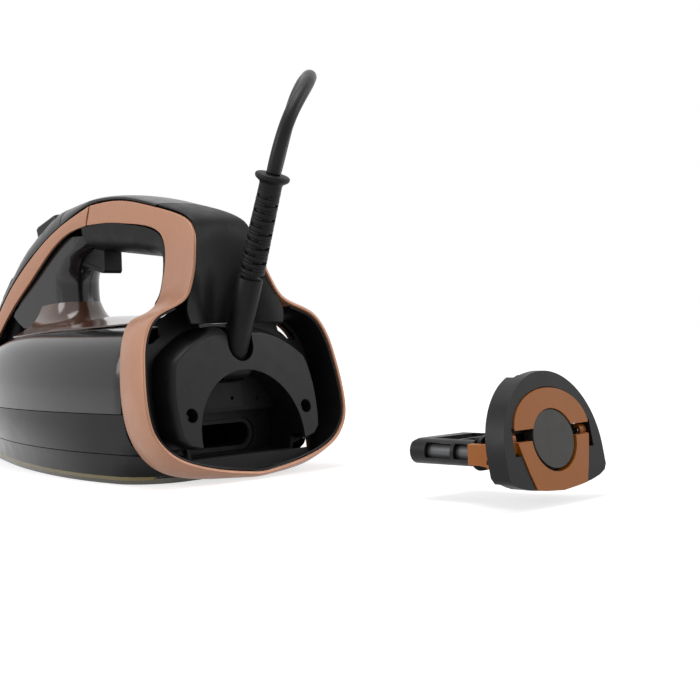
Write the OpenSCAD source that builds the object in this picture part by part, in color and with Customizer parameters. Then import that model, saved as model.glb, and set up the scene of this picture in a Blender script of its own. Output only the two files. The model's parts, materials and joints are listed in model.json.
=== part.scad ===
// Corded steam iron with a pull-out scale collector in its heel.
// +X points to the heel, +Z up, the iron's left side is -Y.
// The origin lies on the soleplate's ironing face.

/* [Soleplate] */
// Length of the soleplate from its tip to the heel
sole_length = 250; // [248:1:251]
// Width across the soleplate at its widest
sole_width = 120; // [116:1:121]
// Thickness of the soleplate
sole_thick = 3; // [2.8:0.1:3]
// Radius of one steam hole
steam_hole_r = 1.4; // [1:0.1:2]

/* [Body] */
// Width across the water tank at its widest
body_width = 131; // [129:0.5:131.5]
// Height of the tank's roof
tank_top = 86; // [85:0.5:86]
// Wall of the moulded covers
wall = 2.2; // [2:0.1:2.4]
// Wall of the copper-coloured frame
frame_wall = 2; // [1.6:0.1:2.2]
// Lean of the heel away from upright, in degrees
heel_lean = 10.87; // [10.8:0.01:10.95]

/* [Scale collector] */
// How far the collector is drawn out of its bay
collector_out = 200; // [190:1:210]
// Width of the collector's shaft
shaft_w = 43; // [41:0.5:43.4]
// Height of the collector's shaft
shaft_h = 12; // [11:0.2:12.2]
// Radius of the collector's arched face plate
plate_r = 36.3; // [36:0.1:36.4]

/* [Cord] */
// Diameter of the mains cord
cord_d = 7.8; // [7.4:0.1:7.9]
// Turns in each of the coil's four layers
coil_turns = 1.625; // [1.625:1:2.625]
// Radius of the coil's outermost turns, at their middle
coil_r = 48.25; // [48:0.25:50]
// Height from one layer of the coil to the next
coil_layer = 8.4; // [8.4:0.1:8.8]
// Distance from one turn of a layer to the next
coil_pitch = 8.3; // [8.3:0.1:8.6]

/* [Hidden] */

$fn = 48;
copper = [0.77, 0.56, 0.46];
orange = [0.72, 0.40, 0.13];
black = [0.09, 0.09, 0.09];
charcoal = [0.17, 0.17, 0.17];
grey = [0.45, 0.46, 0.47];
smoke = [0.23, 0.23, 0.24];
steel = [0.72, 0.72, 0.73];
brass = [0.72, 0.58, 0.30];

heel_x = 150;                      // heel plane at floor level
lean = tan(heel_lean);
sole_heel_x = 123;
tip_x = sole_heel_x - sole_length; // soleplate's tip
body_r = body_width / 2;
gap = 0.4;                         // between neighbouring mouldings

// ---------- helpers ----------

function mix(a, b, t) = a + (b - a) * t;
function ease(t) = let (u = min(1, max(0, t))) u * u * (3 - 2 * u);
function unit(v) = v / norm(v);

// Point on a smooth curve through four neighbours
function spline(a, b, c, d, t) =
    0.5 * (2 * b + (c - a) * t + (2 * a - 5 * b + 4 * c - d) * t * t
        + (3 * b - a - 3 * c + d) * t * t * t);
function smooth(p, n) = concat(
    [for (i = [0 : len(p) - 2], k = [0 : n - 1])
        spline(p[max(i - 1, 0)], p[i], p[i + 1], p[min(i + 2, len(p) - 1)], k / n)],
    [p[len(p) - 1]]);
function mirror_y(p) = [for (q = p) len(q) == 2 ? [-q[0], q[1]] : [q[0], -q[1], q[2]]];
function reversed(p) = [for (i = [len(p) - 1 : -1 : 0]) p[i]];

// Signed volume of a triangle mesh
function total(v, i = 0, s = 0) = i == len(v) ? s : total(v, i + 1, s + v[i]);
function volume(p, f) = total([for (t = f) p[t[0]] * cross(p[t[1]], p[t[2]])]) / 6;
function flipped(f) = [for (t = f) [t[2], t[1], t[0]]];

module solid_mesh(p, f) {
    polyhedron(points = p, faces = volume(p, f) > 0 ? flipped(f) : f);
}

// Two triangles for each cell of an n by m grid whose first point is at index s
function cells(n, m, s, wrap, flip) = [
    for (i = [0 : n - 2], j = [0 : m - (wrap ? 1 : 2)])
        let (a = s + i * m + j, b = s + i * m + (j + 1) % m, c = b + m, d = a + m)
        each flip ? [[a, c, b], [a, d, c]] : [[a, b, c], [a, c, d]]];
function edge(a, b, off) = [[a, a + off, b], [b, a + off, b + off]];

// Wall between an outer and an inner grid, open along its four edges
module skin(outer, inner) {
    n = len(outer);
    m = len(outer[0]);
    o = n * m;
    p = concat([for (r = outer) each r], [for (r = inner) each r]);
    f = concat(cells(n, m, 0, false, false), cells(n, m, o, false, true),
        [for (j = [0 : m - 2]) each edge(j, j + 1, o)],
        [for (j = [0 : m - 2]) each edge((n - 1) * m + j + 1, (n - 1) * m + j, o)],
        [for (i = [0 : n - 2]) each edge((i + 1) * m, i * m, o)],
        [for (i = [0 : n - 2]) each edge(i * m + m - 1, (i + 1) * m + m - 1, o)]);
    solid_mesh(p, f);
}

// Solid through a row of closed sections, capped at both ends
module loft(rings) {
    n = len(rings);
    m = len(rings[0]);
    p = concat([for (r = rings) each r], [total(rings[0], 0, [0, 0, 0]) / m,
        total(rings[n - 1], 0, [0, 0, 0]) / m]);
    f = concat(cells(n, m, 0, true, false),
        [for (j = [0 : m - 1]) [n * m, (j + 1) % m, j]],
        [for (j = [0 : m - 1]) [n * m + 1, (n - 1) * m + j, (n - 1) * m + (j + 1) % m]]);
    solid_mesh(p, f);
}

// Grid moved along its own normals
function grid_normal(g, i, j) =
    unit(cross(g[min(i + 1, len(g) - 1)][j] - g[max(i - 1, 0)][j],
        g[i][min(j + 1, len(g[0]) - 1)] - g[i][max(j - 1, 0)]));
function shifted(g, t) =
    [for (i = [0 : len(g) - 1]) [for (j = [0 : len(g[0]) - 1]) g[i][j] + t * grid_normal(g, i, j)]];

// 2D (Y, Z) shape pushed along X from x0 to x1
module along_x(x0, x1) {
    translate([x0, 0, 0]) rotate([90, 0, 90]) linear_extrude(x1 - x0) children();
}
// 2D (X, Z) shape pushed along Y, centred
module along_y(w) {
    rotate([90, 0, 0]) linear_extrude(w, center = true) children();
}
// Frame of the leaning heel: X outward, Z up the heel
module heel() {
    translate([heel_x, 0, 0]) rotate([0, -heel_lean, 0]) children();
}
// Slab parallel to the heel plane
module heel_slab(x0, x1) {
    heel() translate([x0, -90, -10]) cube([x1 - x0, 180, 190]);
}
// Slot with round ends, w wide and h high
module slot2d(w, h) {
    square([w - h, h], center = true);
    for (s = [-1, 1]) translate([s * (w - h) / 2, 0]) circle(h / 2);
}
module ring_y(x, z, r, y0, y1) {
    translate([x, y1, z]) rotate([90, 0, 0]) cylinder(r = r, h = y1 - y0);
}
// Rectangle with round corners
module round_rect(w, h, r) {
    square([w - 2 * r, h], center = true);
    square([w, h - 2 * r], center = true);
    for (a = [-1, 1], b = [-1, 1]) translate([a * (w / 2 - r), b * (h / 2 - r)]) circle(r);
}

// ---------- outlines ----------

// Half width of the soleplate at x
function sole_w(x) =
    let (t = x >= 80 ? 1 : 1 - pow(min(1, (80 - x) / (80 - tip_x)), 1.65))
    sqrt(pow(sole_width / 2 * t, 2) + 4 * min(8, max(0, x - tip_x)) * (1 - t));
// Half width of the body at its fullest
function body_w(x) =
    x >= 105 ? body_r : body_r * pow(max(0, 1 - pow((105 - x) / 243, 2.3)), 0.85);
// Half width of the lower body, which follows the soleplate and swells upward
function low_w(x, z) = mix(sole_w(x) + 1.2, body_w(x), ease((z - 3) / 35));

sole_corner = 27;
function sole_half(inset) = concat(
    [for (i = [0 : 24]) let (x = tip_x + 2.2 * inset + (sole_heel_x - sole_corner - inset - tip_x - 2.2 * inset)
        * (1 - cos(i * 90 / 24))) [x, max(0, sole_w(x) - inset)]],
    [for (a = [80 : -10 : 0])
        [sole_heel_x - inset - sole_corner + sole_corner * cos(a),
            sole_width / 2 - inset - sole_corner + sole_corner * sin(a)]]);
function mirrored_loop(h) = concat(h, [for (i = [len(h) - 1 : -1 : 0]) if (h[i][1] > 0.01)
    [h[i][0], -h[i][1]]]);

// Heel opening's half outline, as Y and Z, from the bottom to the neck
heel_half = smooth([[0, 1.8], [20, 4.4], [37, 7.8], [52, 12.4], [62.5, 18.5], [69.5, 27],
    [71.9, 35], [72.3, 44], [71.6, 54], [70, 65], [68, 74.6], [63.5, 84.4], [57, 91],
    [48, 94.8], [38.6, 98.4], [33.4, 103], [29.6, 110.4], [26.6, 118]], 2);

// Outer edge of the copper frame, from under the heel up the post and along the grip
frame_rear = [[149.6, 0, 1.8], [149, 20, 4.4], [148.4, 37, 7.8], [147.5, 52, 12.4],
    [146.4, 62.5, 18.5], [144.7, 69.5, 27], [143.2, 71.9, 35], [141.5, 72.3, 44],
    [139.6, 71.6, 54], [137.5, 70, 65], [135.6, 68, 74.6], [133.7, 63.5, 84.4], [132.5, 57, 91],
    [131.8, 48, 94.8], [131.1, 38.6, 98.4], [130.2, 33.4, 103], [128.8, 29.6, 110.4],
    [127.3, 26.6, 118], [125.6, 24.6, 127], [123.2, 22.4, 135.2], [117.3, 20.6, 142.5],
    [105, 19.8, 147.6], [87, 19.5, 152.4], [62, 19.5, 158.2], [42, 19.5, 160], [22, 19.5, 159]];
// Inner edge of the copper frame
frame_front = [[139, 0, 0.9], [138.5, 20, 1.2], [137, 36, 2.2], [133, 50, 5], [125.6, 56.6, 9.3],
    [119.5, 61.4, 17], [115.2, 64.4, 27], [113.2, 66, 38], [112, 66.3, 50], [110.2, 65, 63],
    [108, 62.2, 74], [104.6, 57, 83], [100.8, 50, 88.2], [97.6, 42, 90.6], [93.4, 33.6, 92.6],
    [89.8, 25.8, 95.8], [88.8, 20.9, 101.2], [90.6, 19.8, 109], [93.4, 19.6, 119],
    [93.8, 19.5, 129], [90.8, 19.5, 136.6], [83, 19.5, 141], [72, 19.5, 143.6],
    [56, 19.5, 145.6], [38, 19.5, 147.4], [18, 19.5, 147.3]];
// The same edges of the front trim, from the seam down to the nose
trim_top = [[21.2, 19.5, 158.9], [-1, 19.3, 152.4], [-22, 18.9, 144.6], [-44, 18.4, 133],
    [-67, 17.8, 118], [-85, 16.8, 103.2], [-102, 15, 86.5], [-114, 12.6, 72], [-120, 10.4, 63]];
trim_bottom = [[17.2, 19.5, 147.2], [-4, 19.3, 143.9], [-25, 18.9, 133.3], [-47.5, 18.4, 117.1],
    [-68, 17.8, 103.1], [-86, 16.8, 88.6], [-103, 15, 73.6], [-113, 12.9, 64.6],
    [-116.5, 11.6, 61.5]];
// Handle's crown above those edges, as X and Z, station by station
crown_front = [[-130.1, 62.9], [-126.2, 76.5], [-117.2, 89], [-101.3, 103.9],
    [-82.8, 123.7], [-64.5, 141.3], [-34.2, 158.5], [-19, 162.2]];
edge_front = [[-120.4, 10.8, 63.4], [-114.4, 12.8, 72.4], [-102.4, 15.1, 86.9],
    [-85.3, 16.9, 103.7], [-67.3, 17.9, 118.5], [-48, 18.4, 131.4], [-24, 18.8, 144.2],
    [-11, 19.1, 149.4]];
crown_grip = [[-18.4, 162.3], [0, 164.3], [22, 164.8], [43, 164.2], [62, 161.8], [88, 155.4]];
edge_grip = [[-10.4, 19.1, 149.6], [4, 19.3, 155], [22, 19.5, 160], [42, 19.5, 161],
    [62, 19.5, 159.2], [87, 19.5, 153.4]];

// ---------- base ----------

module sole_outline(inset) {
    polygon(mirrored_loop(sole_half(inset)));
}

module soleplate() {
    color(steel) difference() {
        linear_extrude(sole_thick) sole_outline(0);
        for (row = [0 : 2], i = [0 : 9], s = [-1, 1]) {
            x = -86 + i * 20;
            translate([x, s * (sole_w(x) - 9 - row * 9), -1])
                if (sole_w(x) - 9 - row * 9 > 5) cylinder(r = steam_hole_r, h = sole_thick + 2);
        }
    }
}

chamber_x = 2;
bosses = [[-75, 13], [60, 40.7]];
module heater_casting() {
    color(steel) difference() {
        union() {
            translate([0, 0, sole_thick]) linear_extrude(7) sole_outline(5);
            translate([chamber_x - 26, -22, sole_thick]) cube([52, 44, 9]);
        }
        translate([chamber_x - 22, -18, 5.5]) cube([44, 36, 20]);
        for (s = [-1, 1]) translate([chamber_x + 10, s * 10, -1]) cylinder(r = 1.5, h = 8);
    }
}

// Posts that hold the tray off the casting
module chassis_posts() {
    color(steel) for (s = [-1, 1], b = bosses) translate([b[0], s * b[1], 10])
        cylinder(r = 3.6, h = 22);
}

element_r = 4;
element_y = 30.5;
element_z = 14.2;
module heating_element() {
    color(grey) {
        translate([-30, 0, element_z]) rotate([0, 0, 90])
            rotate_extrude(angle = 180) translate([element_y, 0]) circle(element_r);
        for (s = [-1, 1]) {
            translate([-30, s * element_y, element_z]) rotate([0, 90, 0])
                cylinder(r = element_r, h = 130);
            translate([100, s * element_y, element_z]) rotate([0, 90, 0])
                cylinder(r = 1.6, h = 8);
        }
    }
}

module steam_chamber_cover() {
    color(steel) difference() {
        translate([chamber_x, 0, 12]) linear_extrude(2) round_rect(52, 44, 4);
        for (a = [-1, 1], b = [-1, 1]) translate([chamber_x + a * 22.5, b * 18.5, 11])
            cylinder(r = 1.2, h = 4);
    }
}

// The collector's shaft lies in this sleeve
sleeve_z = 22;
sleeve_mouth = 112;
sleeve_end = 70;
module collector_sleeve() {
    color(charcoal) difference() {
        union() {
            translate([0, 0, sleeve_z]) along_x(sleeve_end, sleeve_mouth)
                slot2d(shaft_w + 5, shaft_h + 5);
            translate([0, 0, sleeve_z]) along_x(sleeve_mouth - 3, sleeve_mouth)
                round_rect(64, 23.2, 9);
        }
        translate([0, 0, sleeve_z]) along_x(sleeve_end + 2, sleeve_mouth + 1)
            slot2d(shaft_w + 0.8, shaft_h + 0.8);
    }
}

module sleeve_seal() {
    color(black) translate([0, 0, sleeve_z]) along_x(sleeve_mouth, sleeve_mouth + 1) difference() {
        slot2d(shaft_w + 6, shaft_h + 6);
        slot2d(shaft_w + 1.2, shaft_h + 1.2);
    }
}

module thermostat() {
    color(grey) {
        translate([-80, 0, 10]) cylinder(r = 9, h = 5);
        translate([-80, 0, 15]) cylinder(r = 6.5, h = 5);
        for (s = [-1, 1]) translate([-80 + s * 4 - 0.4, -2.5, 20]) cube([0.8, 5, 7]);
    }
}

module thermal_fuse() {
    color(steel) {
        translate([20, 42, 12.6]) rotate([0, 90, 0]) cylinder(r = 2.6, h = 18);
        for (x = [14, 38]) translate([x, 42, 12.6]) rotate([0, 90, 0]) cylinder(r = 0.8, h = 6);
    }
}

// Inner tray over the heater, which carries the tank
chassis_z = 32;
module chassis() {
    color(charcoal) difference() {
        translate([0, 0, chassis_z]) linear_extrude(2.2)
            polygon(mirrored_loop([for (i = [0 : 20]) let (x = mix(-112, 98, i / 20))
                [x, i == 0 ? 6 : low_w(x, chassis_z) - 5]]));
        for (s = [-1, 1], b = bosses) translate([b[0], s * b[1], 20]) cylinder(r = 1.6, h = 20);
    }
}

// Loop round the body's side at one height, with round corners at the heel end
function corner(x, x1, r) = x < x1 - r ? 0 : r - sqrt(max(0, r * r - pow(x - x1 + r, 2)));
function side_loop(z, inset, x0, x1) =
    let (n = 26, r = mix(27, 5, ease((z - 5) / 26)), h = [for (i = [0 : n])
        let (x = mix(x0 + 1.6 * inset, x1, (1 - cos(i * 180 / n)) / 2))
        [x, i == 0 ? 0.6 : max(0.9, low_w(x, z) - inset - corner(x, x1, r)), z]])
    concat(h, reversed([for (q = h) [q[0], -q[1], q[2]]]));
// How far the nose reaches forward at height z
function nose_x(z) = mix(tip_x - 1.5, -137, ease((z - 3) / 35));

// Side view of the copper frame, which the housings stop short of
module frame_shadow(clear) {
    along_y(200) polygon(concat(
        [for (q = frame_front) if (q[2] < 90 && q[1] > 18) [q[0] - clear, q[2] - 0.2]],
        [[170, 92], [170, -1], [136, -1]]));
}

function skirt_x(z) = mix(124, 131.5, ease((z - 4) / 12));
module skirt() {
    color(black) difference() {
        loft([for (z = [4.2, 8, 12, 16]) side_loop(z, 0, nose_x(z), skirt_x(z))]);
        loft([for (z = [4, 8, 12, 16.4]) side_loop(z, wall, nose_x(z), skirt_x(z) + 0.1)]);
        frame_shadow(0.8);
    }
}

module skirt_trim() {
    color(brass) difference() {
        linear_extrude(4.2) sole_outline(-0.9);
        translate([0, 0, -1]) linear_extrude(6) sole_outline(-0.15);
        translate([0, 0, -1]) linear_extrude(3.2) sole_outline(-5);
        translate([118, -80, -1]) cube([20, 160, 8]);
    }
}

module lower_housing() {
    color(black) difference() {
        loft([for (z = [16.4, 22, 28, 33, 38]) side_loop(z, 0, nose_x(z), 128)]);
        loft([for (z = [16, 22, 28, 33, 38.4]) side_loop(z, wall, nose_x(z), 130)]);
        frame_shadow(0.8);
    }
}

// ---------- water tank ----------

tank_base = 38.4;
tank_rear = 110;
function tank_roof(x) = lookup(x, [[-137, 50], [-131, 56], [-121, 61.5], [-105, 69],
    [-80, 77.5], [-50, 83], [-20, tank_top - 0.6], [10, tank_top], [tank_rear, tank_top]]);
function tank_section(x, inset) =
    let (w = max(0.8, body_w(x) - inset), top = tank_roof(x) - inset, base = tank_base + inset)
    concat([[x, -w, base]],
        [for (a = [170 : -10 : 10]) let (c = cos(a), s = sin(a))
            [x, w * sign(c) * pow(abs(c), 0.5), base + (top - base) * pow(s, 0.5)]],
        [[x, w, base]]);
module water_tank() {
    xs = [-136.6, -134, -130, -124, -114, -100, -80, -55, -25, 10, 50, 80, tank_rear];
    color(smoke) difference() {
        loft([for (x = xs) tank_section(x, 0)]);
        loft([for (x = [-128, -122, -112, -98, -78, -54, -25, 10, 50, 80, tank_rear - wall])
            tank_section(x, wall)]);
        translate([-92, 0, 60]) cylinder(r = 5.2, h = 40);
    }
}

// Glossy saddle under the finger gap, rising like a trumpet round the front post
post_r = 15.5;
function tank_z(x, y) = tank_base + (tank_roof(x) - tank_base)
    * pow(max(0.2, 1 - pow(abs(y) / body_w(x), 4)), 0.25);
function saddle_z(x, y, d) =
    mix(tank_z(x, y), tank_top + 5, ease((x - 2) / 14) * exp(-pow(y / 24, 4)))
    + 15.5 * exp(-d / 5.5) * (1 - ease((d - 10) / 12)) + 1.5;
saddle_in = [for (p = [[-39, 16], [-31, 16], [-24, 16], [-17, 14.3], [-12.4, 9.6], [-10, 4.6], [-9.4, 0]]) p];
saddle_out = [[-50, 31], [-30, 37], [0, 39], [30, 39], [60, 36.5], [80, 30], [84, 0]];
function saddle_row(v, drop) =
    let (half = [for (k = [0 : 6])
        let (p = mix(saddle_in[k], saddle_out[k], v), d = norm(p - saddle_in[k]))
        [p[0], p[1], saddle_z(p[0], p[1], d) - drop]])
    concat(half, [for (k = [5 : -1 : 0]) [half[k][0], -half[k][1], half[k][2]]]);
module tank_saddle() {
    vs = [0, 0.03, 0.07, 0.13, 0.21, 0.32, 0.46, 0.65, 0.83, 1];
    color([0.24, 0.15, 0.12])
        skin([for (v = vs) saddle_row(v, 0)], [for (v = vs) saddle_row(v, 0.9)]);
}

module filler_neck() {
    color(charcoal) difference() {
        translate([-92, 0, 71]) cylinder(r = 8, h = 27.6);
        translate([-92, 0, 70]) cylinder(r = 5.2, h = 50);
    }
}

// ---------- handle ----------

function post_section(z, xf, xr, w) = concat(
    [[xf, -w, z], [xr - 13, -w, z]],
    [for (a = [-75 : 15 : 75]) [xr - 13 + 13 * cos(a), w * sin(a), z]],
    [[xr - 13, w, z], [xf, w, z]]);
post_levels = smooth([[87, -62, -9.4], [95, -74, -9.4], [101, -67.5, -10.4],
    [107, -64, -11.2], [113, -58, -11.4], [119, -50.5, -10.6], [125, -42.5, -6.4],
    [130, -35.5, -1.4], [135, -27, 8], [142, -10, 11.5]], 2);
module front_post() {
    color(smoke) difference() {
        loft([for (l = post_levels) post_section(l[0], l[1], l[2], post_r)]);
        loft([for (l = [[89.5, -60, -12.4], [100, -64, -12.8], [112, -55, -13.8],
            [118, -47.5, -13.4], [126, -37, -9.4]]) post_section(l[0], l[1], l[2], post_r - 2.4)]);
        translate([-9.4, -7.2, 122]) cube([28, 14.4, 30]);
        translate([-92, 0, 80]) cylinder(r = 8.8, h = 50);
    }
}

module pump() {
    color(grey) {
        translate([-52, 0, 101.8]) rotate([0, 90, 0]) cylinder(r = 8.6, h = 25);
        translate([-27, 0, 101.8]) rotate([0, 90, 0]) cylinder(r = 4, h = 4.8);
        translate([-55, 0, 101.8]) rotate([0, 90, 0]) cylinder(r = 3, h = 3);
    }
}

module water_hose() {
    color([0.75, 0.74, 0.7]) {
        translate([-19, 0, 89.6]) cylinder(r = 2.6, h = 9);
        translate([-22.2, 0, 98.6]) rotate([-90, 0, 0]) rotate_extrude(angle = -90)
            translate([3.2, 0]) circle(2.6);
    }
}

// Cover across the top from one edge of the trim to the other, flatter towards the back
function arch(e, c) = let (power = lookup(e[0], [[-10, 1.45], [22, 0.7]]))
    [for (k = [-6 : 6]) let (a = k * 15, f = pow(cos(a), power))
        [mix(e[0], c[0], f), e[1] * sin(a), mix(e[2], c[1], f)]];
function cover_grid(edges, crowns, n) =
    let (e = smooth(edges, n), c = smooth(crowns, n))
    [for (i = [0 : len(e) - 1]) arch(e[i], c[i])];

button_turn = -18;
button_c = [-41.5, 151.4];
button_y = 5;
module button_frame(s) {
    translate([button_c[0], s, button_c[1]]) rotate([0, button_turn, 0]) children();
}
door_turn = -46.5;
door_c = [-91, 115];
module door_frame() {
    translate([door_c[0], 0, door_c[1]]) rotate([0, door_turn, 0]) children();
}

module nose_cover() {
    g = cover_grid(edge_front, crown_front, 2);
    color(smoke) difference() {
        skin(g, shifted(g, -wall));
        button_frame(0) translate([0, 0, -12]) linear_extrude(24) round_rect(27.4, 20.6, 5);
        door_frame() translate([-2.2, 0, -14]) linear_extrude(24) round_rect(25.6, 17.6, 5);
        door_frame() translate([8, -5.2, -14]) cube([8.4, 10.4, 24]);
        translate([-140, 0, 84]) rotate([0, 90, 0]) cylinder(r = 4.3, h = 30);
    }
}

module handle_top() {
    g = cover_grid(edge_grip, crown_grip, 2);
    color(smoke) skin(g, shifted(g, -wall));
}

module front_trim(side) {
    a = smooth(trim_top, 2);
    b = smooth(trim_bottom, 2);
    g = [for (i = [0 : len(a) - 1]) [for (k = [0 : 3]) let (q = mix(a[i], b[i], k / 3))
        [q[0], side * (q[1] + 0.5 * sin(k * 60)), q[2]]]];
    color(copper) skin(g, [for (r = g) [for (q = r) [q[0], q[1] - side * frame_wall, q[2]]]]);
}
module front_trim_left() { front_trim(-1); }
module front_trim_right() { front_trim(1); }

// Lower grip and the inner side of the rear post, edge by edge
under_edge = [[12, 19.2, 146.6], [26, 19.3, 147.1], [42, 19.3, 147], [60, 19.3, 144.7],
    [71, 19.3, 142.9], [79, 19.3, 141.1], [88, 19.2, 137.4], [92.6, 19.1, 131.4],
    [93.2, 19, 123], [91, 19.2, 112], [88.6, 20.4, 102.8], [88, 23, 98.4]];
under_mid = [[12, 132.3], [26, 131.2], [42, 129.2], [60, 126.9], [70, 125.6], [76.5, 124.5],
    [81.5, 122.6], [84.4, 119.4], [85.4, 114], [85, 105.5], [83.6, 98.5], [82.6, 94.2]];
function under_arch(e, c) = [for (k = [-6 : 6]) let (a = k * 15)
    [mix(e[0], c[0], pow(cos(a), 0.8)), e[1] * sin(a), mix(e[2], c[1], pow(cos(a), 0.8))]];
module grip_lower() {
    e = smooth(under_edge, 2);
    c = smooth(under_mid, 2);
    g = [for (i = [0 : len(e) - 1]) under_arch(e[i], c[i])];
    color(black) difference() {
        skin(g, shifted(g, wall));
        translate([-5, -7.2, 110]) cube([22.8, 14.4, 30]);
    }
}

module rear_frame() {
    a = smooth(frame_rear, 2);
    b = smooth(frame_front, 2);
    n = len(a) - 1;
    right = [for (i = [0 : n]) [for (k = [0 : 4])
        let (q = mix(a[i], b[i], k / 4), bulge = 1.8 * sin(k * 45) * ease((30 - i) / 14))
        [q[0], q[1] + bulge * ease(i / 8), q[2] - bulge * (1 - ease(i / 8)) * 0.6]]];
    left = [for (i = [n : -1 : 1]) [for (q = right[i]) [q[0], -q[1], q[2]]]];
    g = concat(left, right);
    color(copper) skin(g, shifted(g, frame_wall));
}

// Black lining inside the copper frame, whose floor rises to the bay
module frame_lining() {
    a = smooth(frame_rear, 2);
    b = smooth(frame_front, 2);
    n = 27;
    side = [for (i = [0 : n]) [for (t = [0.05, 0.3, 0.58, 0.82]) mix(a[i], b[i], t)]];
    back = [for (i = [n : -1 : 1]) [for (q = side[i]) [q[0], -q[1], q[2]]]];
    s = shifted(concat(back, side), frame_wall + 0.35);
    g = [for (i = [0 : len(s) - 1]) let (q = s[i][3], d = q - s[i][2],
        f = ease((10 - abs(i - n)) / 4),
        low = [min(134.3, q[0] - 0.3), q[1], q[2]],
        end = [min(132.7, q[0] - 1.2), q[1] * 0.98, max(11.9, q[2] + 0.4)])
        concat(s[i], [mix(q + 0.03 * d, low, f), mix(q + 0.08 * d, end, f)])];
    color(black) skin(g, shifted(g, 1));
}

// Black cover from the grip's end down the back of the post, hollowed for the cord
cover_edge = [[88.4, 19.1, 153.5], [96, 19.2, 151.4], [105, 19.3, 149], [113, 19.5, 146.2],
    [119.2, 19.8, 142.8], [122.9, 20.2, 137.6], [124.4, 20.8, 130], [125.6, 22.6, 121],
    [127, 25, 114], [128.4, 28, 107.5], [129.6, 31.4, 101.5], [130.8, 34, 96.5],
    [131.6, 35, 92.5], [132.4, 34.4, 88.6], [133, 33.4, 85.4]];
cover_mid = [[88.6, 155.2], [97, 153.2], [106, 150.6], [114, 147.2], [119.6, 143.4],
    [122.4, 138.6], [123, 130], [121.6, 121], [119.6, 114], [117.6, 107.5], [115.8, 101.5],
    [114.4, 96.5], [113.4, 92.5], [112.6, 88.6], [112, 85.4]];
module rear_cover() {
    g = [for (i = [0 : len(cover_edge) - 1]) [for (k = [-8 : 8])
        let (e = cover_edge[i], c = cover_mid[i], v = k / 8,
            y = e[1] * (i < 5 ? sin(k * 11.25) : v),
            f = i < 5 ? pow(cos(k * 11.25), 0.75) : exp(-pow(abs(y) / 15.5, 2.4)))
        [mix(e[0], c[0], f), y, mix(e[2], c[1], f)]]];
    color(black) skin(g, shifted(g, -1.8));
}

// ---------- heel ----------

panel_half = [[0, 19.6], [20, 19.6], [38, 19.6], [44.6, 21.4], [48.4, 25.4], [49.4, 32], [49.8, 40],
    [49.6, 48], [48.4, 55.6], [47.4, 60.4], [45.4, 65], [40.4, 68.8], [35.2, 72], [29.6, 74.9],
    [24, 77], [17, 78.5], [9, 79], [0, 79]];
function toward(p, c, d) = p + d * unit(c - p);
// The panel's outline moved out by grow, at depth d behind the heel plane
function panel_ring(d, grow, top) =
    let (h = [for (p = panel_half) let (q = toward(p, [0, 44], -grow))
        [q[0], min(top, max(q[1], 18.6))]])
    [for (q = concat(h, [for (i = [len(h) - 2 : -1 : 1]) [-h[i][0], h[i][1]]]))
        [heel_x + d - q[1] * lean, q[0], q[1]]];
arch_z = 22.3;
// Bay opening through the heel
module arch2d(r) {
    translate([0, arch_z]) circle(r, $fn = 96);
    translate([-r, -5]) square([2 * r, arch_z + 5]);
}

relief_pivot = [124.96, 0, 61];
relief_tilt = 21.22;
module relief_frame() {
    translate(relief_pivot) rotate([0, relief_tilt, 0]) children();
}
screw_y = 41.5;
screw_z = 30.8;

module heel_panel() {
    color(charcoal) difference() {
        union() {
            difference() {
                loft([panel_ring(-16.2, 5, 84.6), panel_ring(-12, 5, 84.6),
                    panel_ring(-6.4, 3.4, 82.4), panel_ring(-3, 1.4, 80), panel_ring(-2, 0, 78.6)]);
                loft([panel_ring(-17, 2.8, 82.4), panel_ring(-12.5, 2.8, 82.4),
                    panel_ring(-8, 1.2, 79.6), panel_ring(-4.8, -1.8, 76)]);
            }
            for (s = [-1, 1]) intersection() {
                translate([heel_x - 40, s * screw_y, screw_z]) rotate([0, 90 - heel_lean, 0])
                    cylinder(r = 5.2, h = 60);
                difference() {
                    heel_slab(-16.2, -4);
                    translate([0, 0, arch_z]) along_x(90, 160) circle(plate_r + 3.3);
                }
            }
        }
        along_x(90, 160) arch2d(plate_r + 0.8);
        relief_frame() cylinder(r = 8.2, h = 40);
        relief_frame() rotate([0, -15, 0]) cylinder(r = 8.2, h = 40);
        along_x(108, 150) {
            translate([0, 73]) circle(9);
            translate([-9, 73]) square([18, 14]);
        }
        for (s = [-1, 1]) translate([heel_x - 40, s * screw_y, screw_z]) rotate([0, 90 - heel_lean, 0])
            cylinder(r = 3.9, h = 60);
    }
}

// Wall between the heel and the tank, up to the frame's neck, with two small vents
bulk_top = [[58, 76], [55.6, 80.4], [51, 84.6], [45, 87.4], [38, 89.6], [32.4, 92.6],
    [28, 96], [15.5, 97]];
vent = [[42, 84.6], [47.6, 84.4], [54.6, 78], [55.4, 74.2], [49, 75.6], [43, 79.4]];
module rear_bulkhead() {
    low = [for (p = heel_half) if (p[1] < 75) toward(p, [0, 40], 8.2)];
    half = concat(low, bulk_top, [[15.5, 73]]);
    color(black) difference() {
        intersection() {
            along_x(90, 160) polygon(concat(half, reversed(mirror_y(half))));
            heel_slab(-18.6, -16.3);
        }
        for (v = [vent, mirror_y(vent)]) along_x(90, 160) polygon(v);
        along_x(90, 160) arch2d(plate_r + 3.4);
        translate([90, -15.5, 44]) cube([60, 31, 30]);
        for (s = [-1, 1]) translate([heel_x - 40, s * screw_y, screw_z]) rotate([0, 90 - heel_lean, 0])
            cylinder(r = 1.6, h = 60);
        translate([90, -80, -2]) cube([60, 160, 15.6]);
    }
}

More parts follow.
